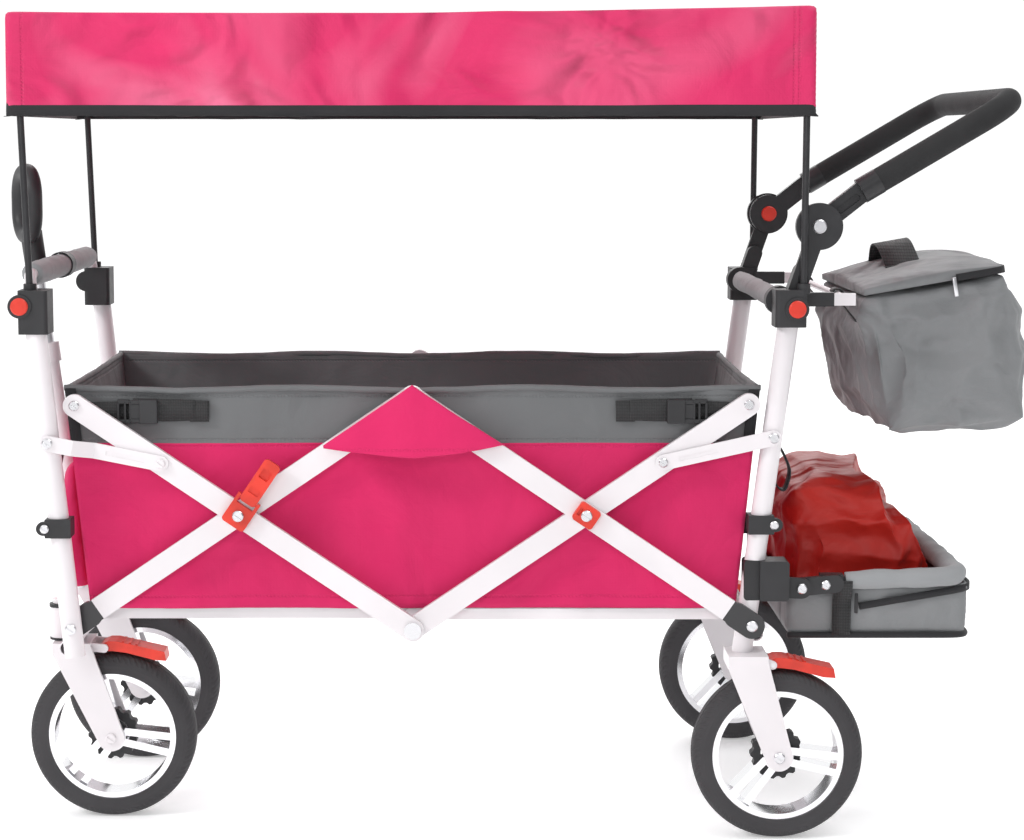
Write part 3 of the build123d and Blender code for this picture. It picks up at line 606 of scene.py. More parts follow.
def fold(piece, slot, anchor_x, keep, *nodes):
    """Puts a piece on the front body and gives it a mesh of its own."""
    dress(piece, "front", slot, *nodes)
    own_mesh(piece)


def fold_with_tub(piece, slot, *nodes):
    fold(piece, slot, SIDE_LOW.x, FOLD_KEEP_TUB, *nodes)


def tub_half(z):
    """Half the tub's length at a height."""
    return HALF_LOW + (HALF_TOP - HALF_LOW) * (z - BASE_Z) / (RIM_Z - BASE_Z)


SEAM_ROW = 0.7


def seam_z(v, seam):
    """Height of a row, with the seam on its own row of points."""
    if v <= SEAM_ROW:
        return BASE_Z + (seam - BASE_Z) * v / SEAM_ROW
    return seam + (RIM_Z - seam) * (v - SEAM_ROW) / (1 - SEAM_ROW)


# ---------------------------------------------------------------- finishes
BAR_CAP = 33 * MM
# how far from the middle plane the screw heads start
STRUT_HEADS = 246.1 * MM
TRAY_HEADS = 231.2 * MM
FINISHES = {
    "white_paint": "frame paint", "black_plastic": "black plastic", "black_steel": "black steel",
    "red_plastic": "red plastic", "steel": "bright steel", "chrome": "chrome", "foam": "grip foam",
    "pink_fabric": "main cloth", "grey_fabric": "grey cloth", "black_webbing": "black webbing",
    "red_fabric": "red cloth",
}


class WAGON_OT_finishes(bpy.types.Operator):
    """Makes every material and gives the hard parts theirs"""
    bl_idname = "wagon.finishes"
    bl_label = "Finishes"

    def execute(self, context):
        c, size = colours(), cloth()
        seams = [("Z", BASE_Z + 0.014), ("Z", size.seam_height - 0.004)]
        woven("main cloth", c.main_cloth, drape=8 * MM, stitch=seams)
        woven("grey cloth", c.grey_cloth, crease=0.55, sheen=0.1,
              stitch=[("Z", size.seam_height + 0.004), ("Z", RIM_Z - 0.012)])
        canopy_low, canopy_high = node_box("canopy_cover")
        hems = [("X", canopy_high.x - 0.022), ("X", canopy_high.x - 0.028), ("X", canopy_low.x + 0.022)]
        # the canopy's lighter patches are painted sheen highlights
        woven("canopy cloth", c.main_cloth, crease=0.6, gloss=0.16, drape=45 * MM,
              painted_sheen=((0.86, 0.30, 0.45), 0.42), stitch=hems)
        woven("bag cloth", [k * 1.4 for k in c.grey_cloth], crease=0.8, sheen=0.1, gloss=0.1, drape=34 * MM)
        woven("pad cloth", [k * 1.85 for k in c.grey_cloth], crease=0.5, sheen=0.1)
        woven("red cloth", c.red_cloth, crease=0.6, sheen=0.02, gloss=0.26, drape=30 * MM)
        woven("binding", (0.020, 0.020, 0.022), thread=0.0012, crease=0.2)
        webbing("black webbing", (0.016, 0.016, 0.017))
        painted("frame paint", c.frame_paint)
        moulded("black plastic", c.black_plastic)
        moulded("red plastic", c.red_plastic, 0.36, 0.15)
        moulded("black steel", (0.020, 0.020, 0.022), 0.38, 0.2)
        moulded("grey plastic", (0.16, 0.165, 0.17), 0.45)
        metal("bright steel", (0.72, 0.72, 0.74), 0.28)
        chromed("chrome", (0.88, 0.88, 0.90))
        foam("grip foam", (0.021, 0.021, 0.022))
        slots = {part["node"]: part["material_slot"] for part in frame["record"]["subparts"]}
        skin = node_box("latch_lever")[1].y
        outside = abs(skin) + 0.3 * MM
        front_pin, rear_pin = (PIVOTS[name] for name in ("fold", "fold_rear_frame"))
        front_cross, top_pivot = (PIVOTS[name] for name in ("fold_falling_bars", "fold_rear_falling_bars"))
        front_cap, rear_cap = (front_pin, front_cross, BAR_CAP), (rear_pin, top_pivot, BAR_CAP)
        marked = {
            "bars_front_rising": painted("front rising bars", c.frame_paint, outside, front_cap),
            "bars_rear_falling": painted("rear falling bars", c.frame_paint, outside, rear_cap),
            "bars_front_falling": painted("front falling bars", c.frame_paint, outside),
            "bars_rear_rising": painted("rear rising bars", c.frame_paint, outside - 9 * MM),
            "floor_centre": painted("floor centre paint", c.frame_paint, outside),
            "struts_rear": painted("rear strut paint", c.frame_paint, STRUT_HEADS),
            "tray_frame": moulded("tray steel", c.black_plastic, 0.4, 0.2, TRAY_HEADS),
        }
        for name, node in frame["nodes"].items():
            if slots[name] == "tyre":
                hub = middle(name)
                low, high = node_box(name)
                finish = tyre_rubber(name + " rubber", c.tyre, hub, (high.z - low.z) / 2)
            elif name in marked:
                finish = marked[name]
            else:
                finish = material(FINISHES[slots[name]])
            for material_slot in node.material_slots:
                material_slot.link = "OBJECT"
                material_slot.material = finish
        return {"FINISHED"}


# ---------------------------------------------------------------- the tub
def tub_side(sign, size):
    """Long side wall, grey above the seam and inside."""
    deep = size.wrinkle

    def place(u, v):
        z = seam_z(v, size.seam_height)
        x = TUB.x + (2 * u - 1) * tub_half(z)
        ends = min(1.0, 12 * u, 12 * (1 - u))
        slack = ripple((x, sign, z), 6.0, deep * 2, 3.0) + ripple((x * 2, sign, z * 0.6), 14.0, deep * 0.8)
        folds = crease((x * 0.8 + z * 0.9, sign, z - 0.4 * x), 7.0, deep * 2, 4.0) - deep
        slack += folds * sin(pi * min(1.0, v * 1.1))
        rim_dip = 3.5 * MM * sin(pi * u * 3) ** 2 * max(0.0, (v - SEAM_ROW) / (1 - SEAM_ROW))
        return x, sign * (SIDE_Y - 1.5 * MM + slack * ends), z - rim_dip

    bm = grid(150, 40, place)
    face_towards(bm, 1, sign)
    thicken(bm, TUB_CLOTH)
    bm.normal_update()
    paint_faces(bm, 1, lambda at, normal: at.z < size.seam_height and normal.y * sign > 0.3)
    piece = add_piece(f"tub_side_{NEAR_FAR[sign]}", bm, [material("grey cloth"), material("main cloth")])
    return piece


class WAGON_OT_tub_sides(bpy.types.Operator):
    """Sews the two long sides, grey inside and above the seam"""
    bl_idname = "wagon.tub_sides"
    bl_label = "Tub sides"

    def execute(self, context):
        near, far = (tub_side(sign, cloth()) for sign in (-1, 1))
        fold_with_tub(near, "pink_fabric", "tub_sides")
        fold_with_tub(far, "pink_fabric")
        return {"FINISHED"}


def end_wall(end, half_y, size):
    """Leaning end wall, slack between its corners."""
    def place(u, v):
        z = seam_z(v, size.seam_height)
        y = (2 * u - 1) * half_y
        bow = 5 * MM * sin(pi * u) * sin(pi * v)
        x = TUB.x + end * (tub_half(z) - 2 * MM - bow + ripple((0, y, z), 11.0, size.wrinkle, end))
        return x, y, z - 2 * MM * sin(pi * u)

    bm = grid(90, 40, place)
    face_towards(bm, 0, end)
    thicken(bm, TUB_CLOTH)
    bm.normal_update()
    paint_faces(bm, 1, lambda at, normal: at.z < size.seam_height and normal.x * end > 0.3)
    piece = add_piece(f"tub_end_{FRONT_REAR[end]}", bm, [material("grey cloth"), material("main cloth")])
    return piece


def pocket(side, name):
    """Full pocket on the front end wall, fuller at its foot."""
    low = node_box("end_panel_front")[0]
    outer = (low.x + 2 * MM, 0.042, BASE_Z + 0.018)
    inner = (TUB.x - HALF_LOW - 6 * MM, 0.204, BASE_Z + 0.172)
    bm = rounded_block(outer, inner, 0.012)
    for vertex in bm.verts:
        vertex.co.y *= side
        lift = (vertex.co.z - BASE_Z) / 0.17
        if vertex.co.x > (low.x + TUB.x - HALF_LOW) / 2:
            vertex.co.x = TUB.x - tub_half(vertex.co.z) - 3 * MM
        else:
            vertex.co.x += 0.016 * abs(lift - 0.45) ** 2 * 4
    bmesh.ops.recalc_face_normals(bm, faces=bm.faces)
    piece = inflate(add_piece(name, bm, material("main cloth")), 5 * MM, 5 * MM)
    return dress(piece, "front", "pink_fabric")


class WAGON_OT_tub_ends(bpy.types.Operator):
    """Sews the end walls, the two front pockets and the strap that hangs at the back"""
    bl_idname = "wagon.tub_ends"
    bl_label = "Tub ends"

    def execute(self, context):
        size = cloth()
        front_low, front_high = node_box("end_panel_front")
        rear_high = node_box("end_panel_rear")[1]
        front = end_wall(-1, front_high.y - 1 * MM, size)
        dress(front, "front", "pink_fabric", "end_panel_front")
        dress(end_wall(1, rear_high.y - 1 * MM, size), "rear", "pink_fabric", "end_panel_rear")
        for side, name in ((-1, "pocket_near"), (1, "pocket_far")):
            pocket(side, name)
            x = front_low.x + 1 * MM
            tab = [(x + ahead * MM, side * 0.150, z) for ahead, z in ((7, 0.452), (1, 0.432), (0, 0.405))]
            bm = sweep(eased(path_points(tab, 4 * MM)), tape_section(20 * MM, 1.6 * MM), (0, 1, 0))
            trim(f"pocket_tab_{NEAR_FAR[side]}", bm, "black webbing", "front", "black_webbing")
        top = (rear_high.x - 20 * MM, -0.188, 0.462)
        loop = [(TUB.x + HALF_TOP - 4 * MM, -0.188, 0.466), top, (rear_high.x - 4 * MM, -0.188, 0.428),
                (rear_high.x - 12 * MM, -0.188, 0.400), (rear_high.x - 25 * MM, -0.188, 0.412),
                (rear_high.x - 22 * MM, -0.188, 0.455)]
        bm = sweep(eased(path_points(loop, 4 * MM), 6), tape_section(22 * MM, 1.8 * MM), (0, 1, 0))
        trim("hanging_loop", bm, "black webbing", "rear", "black_webbing")
        return {"FINISHED"}


class WAGON_OT_tub_trim(bpy.types.Operator):
    """Adds the rolled rim, corner tapes, floor pad and the flaps over the top pivots"""
    bl_idname = "wagon.tub_trim"
    bl_label = "Tub trim"

    def execute(self, context):
        for sign, name in ((-1, "near"), (1, "far")):
            line = [(TUB.x + end * HALF_TOP, sign * SIDE_Y, RIM_Z - 2 * MM) for end in (-1, 1)]
            points = path_points(line, 8 * MM)
            for index, point in enumerate(points):
                u = index / (len(points) - 1)
                point.z += -3.5 * MM * sin(pi * u * 3) ** 2 + ripple(point, 30.0, 0.7 * MM)
                point.y += ripple(point, 18.0, 0.6 * MM, 5.0) - sign * 1 * MM
            bm = sweep(points, round_section(3.6 * MM, 10), (0, 1, 0))
            fold_with_tub(add_piece(f"rim_roll_{name}", bm, material("grey cloth")), "grey_fabric")
        for end, body, half in ((-1, "front", 0.222), (1, "rear", 0.209)):
            x = TUB.x + end * (HALF_TOP - 3 * MM)
            points = path_points([(x, -half, RIM_Z - 3 * MM), (x, half, RIM_Z - 3 * MM)], 8 * MM)
            for index, point in enumerate(points):
                point.z += ripple(point, 30.0, 0.8 * MM) - 2 * MM * sin(pi * index / (len(points) - 1))
            bm = sweep(points, round_section(3.6 * MM, 10), (1, 0, 0))
            trim(f"rim_roll_{body}", bm, "grey cloth", body, "grey_fabric")
        for end in (-1, 1):
            for sign in (-1, 1):
                points = []
                for z in (cloth().seam_height - 2 * MM, 0.49, 0.51, RIM_Z - 2 * MM):
                    points.append((TUB.x + end * (tub_half(z) - 7 * MM), sign * (SIDE_Y + 1.6 * MM), z))
                bm = sweep(path_points(points, 8 * MM), tape_section(13 * MM, 1.4 * MM), (1, 0, 0))
                name = f"corner_tape_{FRONT_REAR[end]}_{NEAR_FAR[sign]}"
                fold_with_tub(add_piece(name, bm, material("binding")), "black_webbing")
        pad = rounded_block(FLOOR_LOW, FLOOR_HIGH + Vector((0, 0, 2 * MM)), 1.1 * MM)
        fold_with_tub(add_piece("floor_pad", pad, material("grey cloth")), "grey_fabric", "tub_floor")
        near, far = (pivot_flap(sign) for sign in (-1, 1))
        fold_with_tub(near, "pink_fabric", "tub_flaps")
        fold_with_tub(far, "pink_fabric")
        return {"FINISHED"}


def pivot_flap(sign):
    """Cloth sewn to the rim that roofs the bars' top pivot and hangs in a kite over it."""
    flap_low, flap_high = node_box("tub_flaps")
    face = flap_high.y - 0.5 * MM
    peak = flap_high.z - (5 * MM if sign < 0 else 16 * MM)
    corner_z = flap_high.z - 75 * MM
    roof = 0.2

    def place(u, v):
        across = 2 * u - 1
        lean = abs(across)
        reach = 104 * MM + 2 * MM * across
        edge = Vector((across * reach, face - 1.5 * MM * lean, peak - (peak - corner_z) * lean ** 0.96))
        if v < roof:
            sewn = Vector((across * 20 * MM, SIDE_Y + 2 * MM, peak - 5 * MM - 12 * MM * lean))
            point = sewn.lerp(edge, v / roof)
        else:
            down = (v - roof) / (1 - roof)
            foot = Vector((edge.x, face + 2 * MM, flap_low.z + (13 * MM + 2 * MM * across) * lean ** 1.5))
            point = edge.lerp(foot, down)
            belly = 2.2 * MM * sin(pi * down) * (1 - lean)
            point.y += belly + 1.6 * MM * cos(across * 8 + 1) * down * (1 - lean)
        point.z += ripple((across, v, sign), 2.5, 1.2 * MM) * (1 - lean)
        return TUB.x + point.x, sign * point.y, point.z

    bm = grid(64, 40, place)
    weld(bm)
    thicken(bm, -THIN_CLOTH)
    bmesh.ops.recalc_face_normals(bm, faces=bm.faces)
    piece = add_piece(f"pivot_flap_{NEAR_FAR[sign]}", bm, material("main cloth"))
    return piece


def buckle(bm, x, z, y, way):
    """Side-release buckle: a socket, two prongs and the slider that the tape runs through."""
    def block(x0, x1, z0, z1, thick, radius=1.2 * MM):
        low_y, high_y = sorted((y, y + way * thick))
        rounded_block((min(x0, x1), low_y, z0), (max(x0, x1), high_y, z1), radius, 2, bm)

    block(x - 4 * MM, x + 17 * MM, z - 14 * MM, z + 14 * MM, 7.5 * MM)
    block(x - 16 * MM, x - 3 * MM, z - 9 * MM, z + 9 * MM, 5 * MM)
    for up in (-1, 1):
        block(x - 14 * MM, x + 2 * MM, z + up * 11 * MM - 2.5 * MM, z + up * 11 * MM + 2.5 * MM, 6 * MM)
        block(x - 30 * MM, x - 15 * MM, z + up * 11.5 * MM - 2.5 * MM, z + up * 11.5 * MM + 2.5 * MM, 5.5 * MM)
    for step in (-30, -22, -16):
        block(x + step * MM, x + (step + 3) * MM, z - 13 * MM, z + 13 * MM, 5.5 * MM)


class WAGON_OT_side_straps(bpy.types.Operator):
    """Adds the four webbing straps with their buckles"""
    bl_idname = "wagon.side_straps"
    bl_label = "Side straps"

    def execute(self, context):
        low, high = node_box("side_straps")
        z = (low.z + high.z) / 2
        face = SIDE_Y + 2 * MM
        for end in (-1, 1):
            for sign in (-1, 1):
                name = f"{FRONT_REAR[end]}_{NEAR_FAR[sign]}"
                x_in, x_out = TUB.x + end * 0.236, TUB.x + end * 0.376
                centre = TUB.x + end * 0.312
                line = [(x_in, sign * face, z), (x_in + end * 0.024, sign * (face + 1 * MM), z + 1 * MM),
                        (centre - end * 0.03, sign * (face + 1.5 * MM), z),
                        (centre + end * 0.02, sign * (face + 1.5 * MM), z),
                        (x_out, sign * face, z - 2 * MM)]
                bm = sweep(eased(path_points(line, 4 * MM)), tape_section(24 * MM, 1.6 * MM), (0, 0, 1))
                hem = [(x_in, sign * (face + 2 * MM), z), (x_in + end * 0.022, sign * (face + 2.4 * MM), z)]
                sweep(path_points(hem, 4 * MM), tape_section(24.5 * MM, 1.8 * MM), (0, 0, 1), bm)
                tail = [(centre - end * 0.06, sign * (face + 3 * MM), z + 2 * MM),
                        (centre + end * 0.012, sign * (face + 3.2 * MM), z + 4 * MM)]
                sweep(path_points(tail, 4 * MM), tape_section(23 * MM, 1.4 * MM), (0, 0, 1), bm)
                fold_with_tub(add_piece(f"strap_{name}", bm, material("black webbing")), "black_webbing",
                              *(["side_straps"] if name == "front_near" else []))
                bm = bmesh.new()
                buckle(bm, 0, z, sign * (face + 2.5 * MM), sign)
                for vertex in bm.verts:
                    vertex.co.x = centre - end * vertex.co.x
                bmesh.ops.recalc_face_normals(bm, faces=bm.faces)
                piece = add_piece(f"buckle_{name}", bm, material("black plastic"), smooth=False)
                fold_with_tub(piece, "black_plastic")
        return {"FINISHED"}


# ---------------------------------------------------------------- canopy
class WAGON_OT_canopy(bpy.types.Operator):
    """Stretches the canopy over its two hoops, with a dark tape round the hem"""
    bl_idname = "wagon.canopy"
    bl_label = "Canopy"

    def execute(self, context):
        size = cloth()
        low, high = node_box("canopy_cover")
        centre = (low + high) / 2
        half_x, half_y = (high.x - low.x) / 2, (high.y - low.y) / 2
        hoops = [middle(name).x for name in ("canopy_hoop_front", "canopy_hoop_rear")]
        tops = [node_box(name)[1].z + 2.6 * MM for name in ("canopy_hoop_front", "canopy_hoop_rear")]

        def shape(point, down):
            span = (point.x - hoops[0]) / (hoops[1] - hoops[0])
            between = sin(pi * min(1.0, max(0.0, span)))
            point.z -= (high.z - tops[0] - (tops[1] - tops[0]) * min(1.0, max(0.0, span))) * (1 - down)
            if down == 0.0:
                across = 1 - abs(point.y - centre.y) / half_y
                point.z -= size.canopy_sag * between * (0.45 + 0.55 * across)
                folds = ripple(point, 6.0, 5.0 * MM, 2.0) + crease(point, 5.0, 10 * MM, 3.0) - 7 * MM
                point.z += folds * (0.1 + 0.9 * between) * min(1.0, across * 6)
                return point
            point.z -= size.canopy_sag * 0.45 * between * (1 - down)
            side = abs(abs(point.y - centre.y) - half_y) < 1e-5
            along = point.x if side else point.y
            wave = ripple((along, 0.5 * point.z, 1 if side else 2), 4.0, 6.5 * MM, 4.0)
            steep = (along * 0.9 + point.z * 2.2, 1.3 * point.z - 0.4 * along, 3)
            wave += crease(steep, 7.5, 24.0 * MM, 9.0) - 14.0 * MM
            wave += crease((along * 1.6 - point.z * 1.2, 1.1 * point.z, 8), 6.0, 9.0 * MM, 2.0) - 5.0 * MM
            wave += 1.8 * MM * sin(along * 27 + point.z * 14) * down
            point.z += ripple((along, 5, 5), 5.0, 3.0 * MM) * down * (1 - down) * 3
            inward = 3.0 * MM * (1 - down) + 1.4 * MM - wave * (0.35 + 0.65 * down) * (between if side else 1)
            inward = min(inward, 1.2 * MM + 16 * MM * between ** 0.7)
            if side:
                point.y -= inward * (1 if point.y > centre.y else -1)
            else:
                point.x -= (2 * MM + 0.4 * inward) * (1 if point.x > centre.x else -1)
            return point

        bm = tent(centre, half_x, half_y, high.z - 0.6 * MM, low.z + 0.5 * MM, 6.5 * MM, shape)
        soften(bm, low.z, 3)
        face_towards(bm, 2, 1)
        thicken(bm, THIN_CLOTH)
        paint_faces(bm, 1, lambda at, normal: at.z < low.z + size.hem_width)
        cover = add_piece("canopy", bm, [material("canopy cloth"), material("binding")])
        fold(cover, "pink_fabric", hoops[0], FOLD_KEEP_CANOPY, "canopy_cover")
        return {"FINISHED"}


# ---------------------------------------------------------------- bumper pads
def bar_pad(name, node, body):
    """Padded sleeve round a cross bar, gathered at its ends."""
    low, high = node_box(node)
    centre = (low + high) / 2
    radius = (high.x - low.x) / 2
    points = path_points([(centre.x, low.y, centre.z), (centre.x, high.y, centre.z)], 5 * MM)

    def fuller(t):
        end = min(1.0, 18 * t, 18 * (1 - t))
        return 0.84 + 0.14 * end ** 0.5

    bm = sweep(points, round_section(radius, 28), (1, 0, 0), lift=fuller)

    def gathers(at, normal):
        return ripple((at.x * 4, at.y, at.z * 4), 26.0, 1.0 * MM) + ripple(at, 60.0, 0.5 * MM, 3.0)

    push(bm, gathers)
    piece = add_piece(name, bm, material("pad cloth"))
    dress(piece, body, "grey_fabric", node)


class WAGON_OT_bumpers(bpy.types.Operator):
    """Pads the two cross bars"""
    bl_idname = "wagon.bumpers"
    bl_label = "Bumper pads"

    def execute(self, context):
        bar_pad("front_pad", "front_bumper_pad", "front")
        bar_pad("rear_pad", "rear_bumper_pad", "rear")
        return {"FINISHED"}


# ---------------------------------------------------------------- cooler bag
def lid_trim(name, bm, finish, slot):
    """Puts a piece that was made in the bag's own axes on the lid."""
    bmesh.ops.transform(bm, matrix=BAG_TURN, verts=bm.verts)
    trim(name, bm, finish, "lid", slot)


class WAGON_OT_bag(bpy.types.Operator):
    """Sews the cooler bag: slack body, zipped lid, carrying strap and hanging loops"""
    bl_idname = "wagon.bag"
    bl_label = "Cooler bag"

    def execute(self, context):
        half, size = BAG_HALF, cloth()
        shelf = half.z - 6 * MM
        foot = (-half.x + 5 * MM, -half.y + 5 * MM, -half.z + 2 * MM)
        bm = rounded_block(foot, (half.x - 5 * MM, half.y - 5 * MM, shelf - 1 * MM), 6 * MM)
        body = inflate(add_piece("bag", bm, material("bag cloth")), 5 * MM, 6 * MM)
        bm = bmesh.new()
        bm.from_mesh(body.data)

        def slack(at, normal):
            level = (shelf - at.z) / (2 * half.z)
            hang = min(1.0, max(0.0, level * 5))
            lie = (at.x * 0.7 + at.z * 0.5, at.y * 0.7, at.z * 0.9 - at.x * 0.4)
            fold_line = crease(lie, 9.0, 2.9 * size.bag_wrinkle, 7.0)
            fold_line += crease((at.x + at.z * 0.2, at.y, at.z * 0.5), 16.0, 1.3 * size.bag_wrinkle, 2.0)
            small = ripple((at.x, at.y, at.z * 1.4), 34.0, 1.6 * MM, 1.0)
            seam = 1.8 * MM * exp(-(((shelf - 20 * MM - at.z) / (2.6 * MM)) ** 2)) * (1 - abs(normal.z))
            folds = (fold_line + small - 16 * MM) * hang * (1 - 0.6 * abs(normal.z))
            return -seam + folds + 5 * MM * level * (1 - abs(normal.z))

        push(bm, slack)
        for vertex in bm.verts:
            level = max(0.0, (shelf - vertex.co.z) / (2 * half.z))
            vertex.co.z = min(vertex.co.z, shelf) - level * (9 * MM + 6 * MM * vertex.co.x / half.x)
        bm.to_mesh(body.data)
        bm.free()
        body.data.transform(BAG_TURN)
        dress(body, "rear", "grey_fabric", "bag_body")

        def crowned(point, down):
            crown = max(0.0, (1 - (point.x / half.x) ** 2) * (1 - (point.y / half.y) ** 2)) ** 0.6
            if down == 0.0:
                folds = crease(point, 9.0, 5 * MM, 5.0) + ripple(point, 26.0, 1.5 * MM) - 2 * MM
                point.z += 21 * MM * crown + folds * crown
            return point

        bm = tent(Vector((0, 0, 0)), half.x - 10 * MM, half.y - 10 * MM, half.z - 1 * MM,
                  shelf + 0.5 * MM, 5 * MM, crowned)
        face_towards(bm, 2, 1)
        thicken(bm, 2.5 * MM)
        lid = add_piece("bag_top", bm, material("bag cloth"))
        lid.data.transform(BAG_TURN)
        dress(lid, "lid", "grey_fabric", "bag_lid")

        zip_x, zip_y, zip_z = half.x - 8 * MM, half.y - 8 * MM, half.z - 3 * MM
        corners = ((zip_x - 58 * MM, -zip_y), (zip_x, -zip_y), (zip_x, zip_y), (zip_x - 120 * MM, zip_y))
        zip_line = [Vector((x, y, zip_z)) for x, y in corners]
        bm = sweep(eased(path_points(zip_line, 6 * MM), 4), tape_section(8 * MM, 4 * MM), (0, 0, 1))
        lid_trim("bag_zip", bm, "binding", "black_webbing")

        top = half.z + 9 * MM
        outline = ((-66, 4), (-52, 14), (-28, 28), (0, 32), (28, 28), (52, 14), (66, 4))
        arch = [(-15 * MM, y * MM, top + z * MM) for y, z in outline]
        bm = sweep(eased(path_points(arch, 5 * MM), 5), tape_section(42 * MM, 2.4 * MM), (1, 0, 0))
        for y in (-60 * MM, 60 * MM):
            rounded_block((-37 * MM, y - 9 * MM, top), (6 * MM, y + 9 * MM, top + 6.5 * MM), 0.8 * MM, 2, bm)
        lid_trim("bag_strap", bm, "black webbing", "black_webbing")

        bm = rounded_block((zip_x - 64 * MM, -zip_y - 4 * MM, zip_z - 22 * MM),
                           (zip_x - 59 * MM, -zip_y - 1.5 * MM, zip_z + 1 * MM), 1 * MM, 2)
        lid_trim("bag_zip_pull", bm, "bright steel", "steel")

        hanger_x, hanger_z = TUB.x + 505 * MM, 632 * MM
        for index, y in enumerate((-130 * MM, 130 * MM)):
            turns = [radians(angle) for angle in range(150, -91, -20)]
            ring = [Vector((hanger_x + 7 * MM * cos(t), y, hanger_z + 7 * MM * sin(t))) for t in turns]
            ends = [Vector((TUB.x + 528 * MM, y, 600 * MM))]
            bm = sweep(ends + ring, tape_section(28 * MM, 1.6 * MM), (0, 1, 0))
            trim(f"bag_loop_{index + 1}", bm, "black webbing", "rear", "black_webbing")
        return {"FINISHED"}


# ---------------------------------------------------------------- tray
class WAGON_OT_tray(bpy.types.Operator):
    """Sews the tray: padded rim, walls, zip and binding"""
    bl_idname = "wagon.tray"
    bl_label = "Tray"

    def execute(self, context):
        low, high = node_box("tray_fabric")
        rod_z = high.z - 11.5 * MM
        wall_low = Vector((low.x, low.y + 16.5 * MM, low.z))
        wall_high = Vector((high.x - 2 * MM, high.y - 16.5 * MM, rod_z - 7 * MM))
        side_y = high.y - 11.5 * MM
        end_x = high.x - 11.5 * MM
        start_x = low.x + 66 * MM

        def rise(x):
            return 6 * MM * max(0.0, x - start_x) / (end_x - start_x)

        rim = [(x, y * side_y, rod_z) for x, y in ((start_x, -1), (end_x, -1), (end_x, 1), (start_x, 1))]
        points = eased(path_points(rim, 6 * MM), 14)

        def fuller(t):
            return 0.9 + 0.1 * min(1.0, 20 * t, 20 * (1 - t)) ** 0.5

        bm = sweep(points, round_section(12.5 * MM, 26, 1.0), (0, 0, 1), lift=fuller)
        push(bm, lambda at, normal: ripple(at, 24.0, 2.2 * MM, 8.0) + crease(at, 16.0, 2.6 * MM) - 1.3 * MM)
        for vertex in bm.verts:
            vertex.co.z += rise(vertex.co.x)
        trim("tray_rim", bm, "pad cloth", "tray", "grey_fabric", "tray_fabric")

        centre = (wall_low + wall_high) / 2
        half_x, half_y = (wall_high.x - wall_low.x) / 2, (wall_high.y - wall_low.y) / 2

        def shape(point, up):
            folds = ripple(point, 12.0, 3.0 * MM, 6.0) + crease(point, 11.0, 5 * MM, 1.0) - 2.5 * MM
            bulge = 4.0 * MM * sin(pi * up) + folds * min(1.0, up * 4)
            point.z += rise(point.x) * up
            if abs(abs(point.y) - half_y) < 1e-5:
                point.y += bulge * (1 if point.y > 0 else -1)
            elif up > 0:
                point.x += bulge * 0.6 * (1 if point.x > centre.x else -0.2)
            if up == 0:
                point.z += ripple(point, 12.0, 1.2 * MM) + 1.2 * MM
            return point

        bm = tent(centre, half_x, half_y, wall_low.z + 1 * MM, wall_high.z, 7 * MM, shape)
        soften(bm, wall_high.z, 2)
        face_towards(bm, 2, -1)
        thicken(bm, 2 * MM)
        walls = trim("tray_walls", bm, "bag cloth", "tray", "grey_fabric")

        def round_the_tray(z, out, name, section, finish, first=0.0, climb=0.0):
            line = [(wall_low.x + first, wall_low.y - out, z), (wall_high.x + out, wall_low.y - out, z),
                    (wall_high.x + out, wall_high.y + out, z), (wall_low.x + first, wall_high.y + out, z)]
            points = eased(path_points(line, 6 * MM), 12)
            for point in points:
                point.z += climb * max(0.0, point.x - line[0][0]) / (line[1][0] - line[0][0])
            bm = sweep(points, section, (0, 0, 1))
            trim(name, bm, finish, "tray", "black_webbing")

        round_the_tray(wall_low.z + 3 * MM, 2.5 * MM, "tray_binding", round_section(3.8 * MM, 10), "binding")
        round_the_tray(rod_z - 30 * MM, 5.0 * MM, "tray_zip", tape_section(8 * MM, 3.4 * MM), "binding",
                       84 * MM, 23 * MM)
        x = TUB.x + 0.504
        line = [(x, -side_y - 12.5 * MM, rod_z + 2 * MM), (x, -side_y - 10.5 * MM, rod_z - 10 * MM),
                (x, wall_low.y - 6 * MM, rod_z - 22 * MM), (x, wall_low.y - 5.5 * MM, wall_low.z + 4 * MM)]
        bm = sweep(eased(path_points(line, 4 * MM)), tape_section(22 * MM, 1.6 * MM), (1, 0, 0))
        trim("tray_strap", bm, "black webbing", "tray", "black_webbing")
        bm = rounded_block((x + 15 * MM, wall_low.y - 9 * MM, rod_z - 38 * MM),
                           (x + 19 * MM, wall_low.y - 6.5 * MM, rod_z - 14 * MM), 1 * MM, 2)
        trim("tray_zip_pull", bm, "black plastic", "tray", "black_plastic")
        return {"FINISHED"}


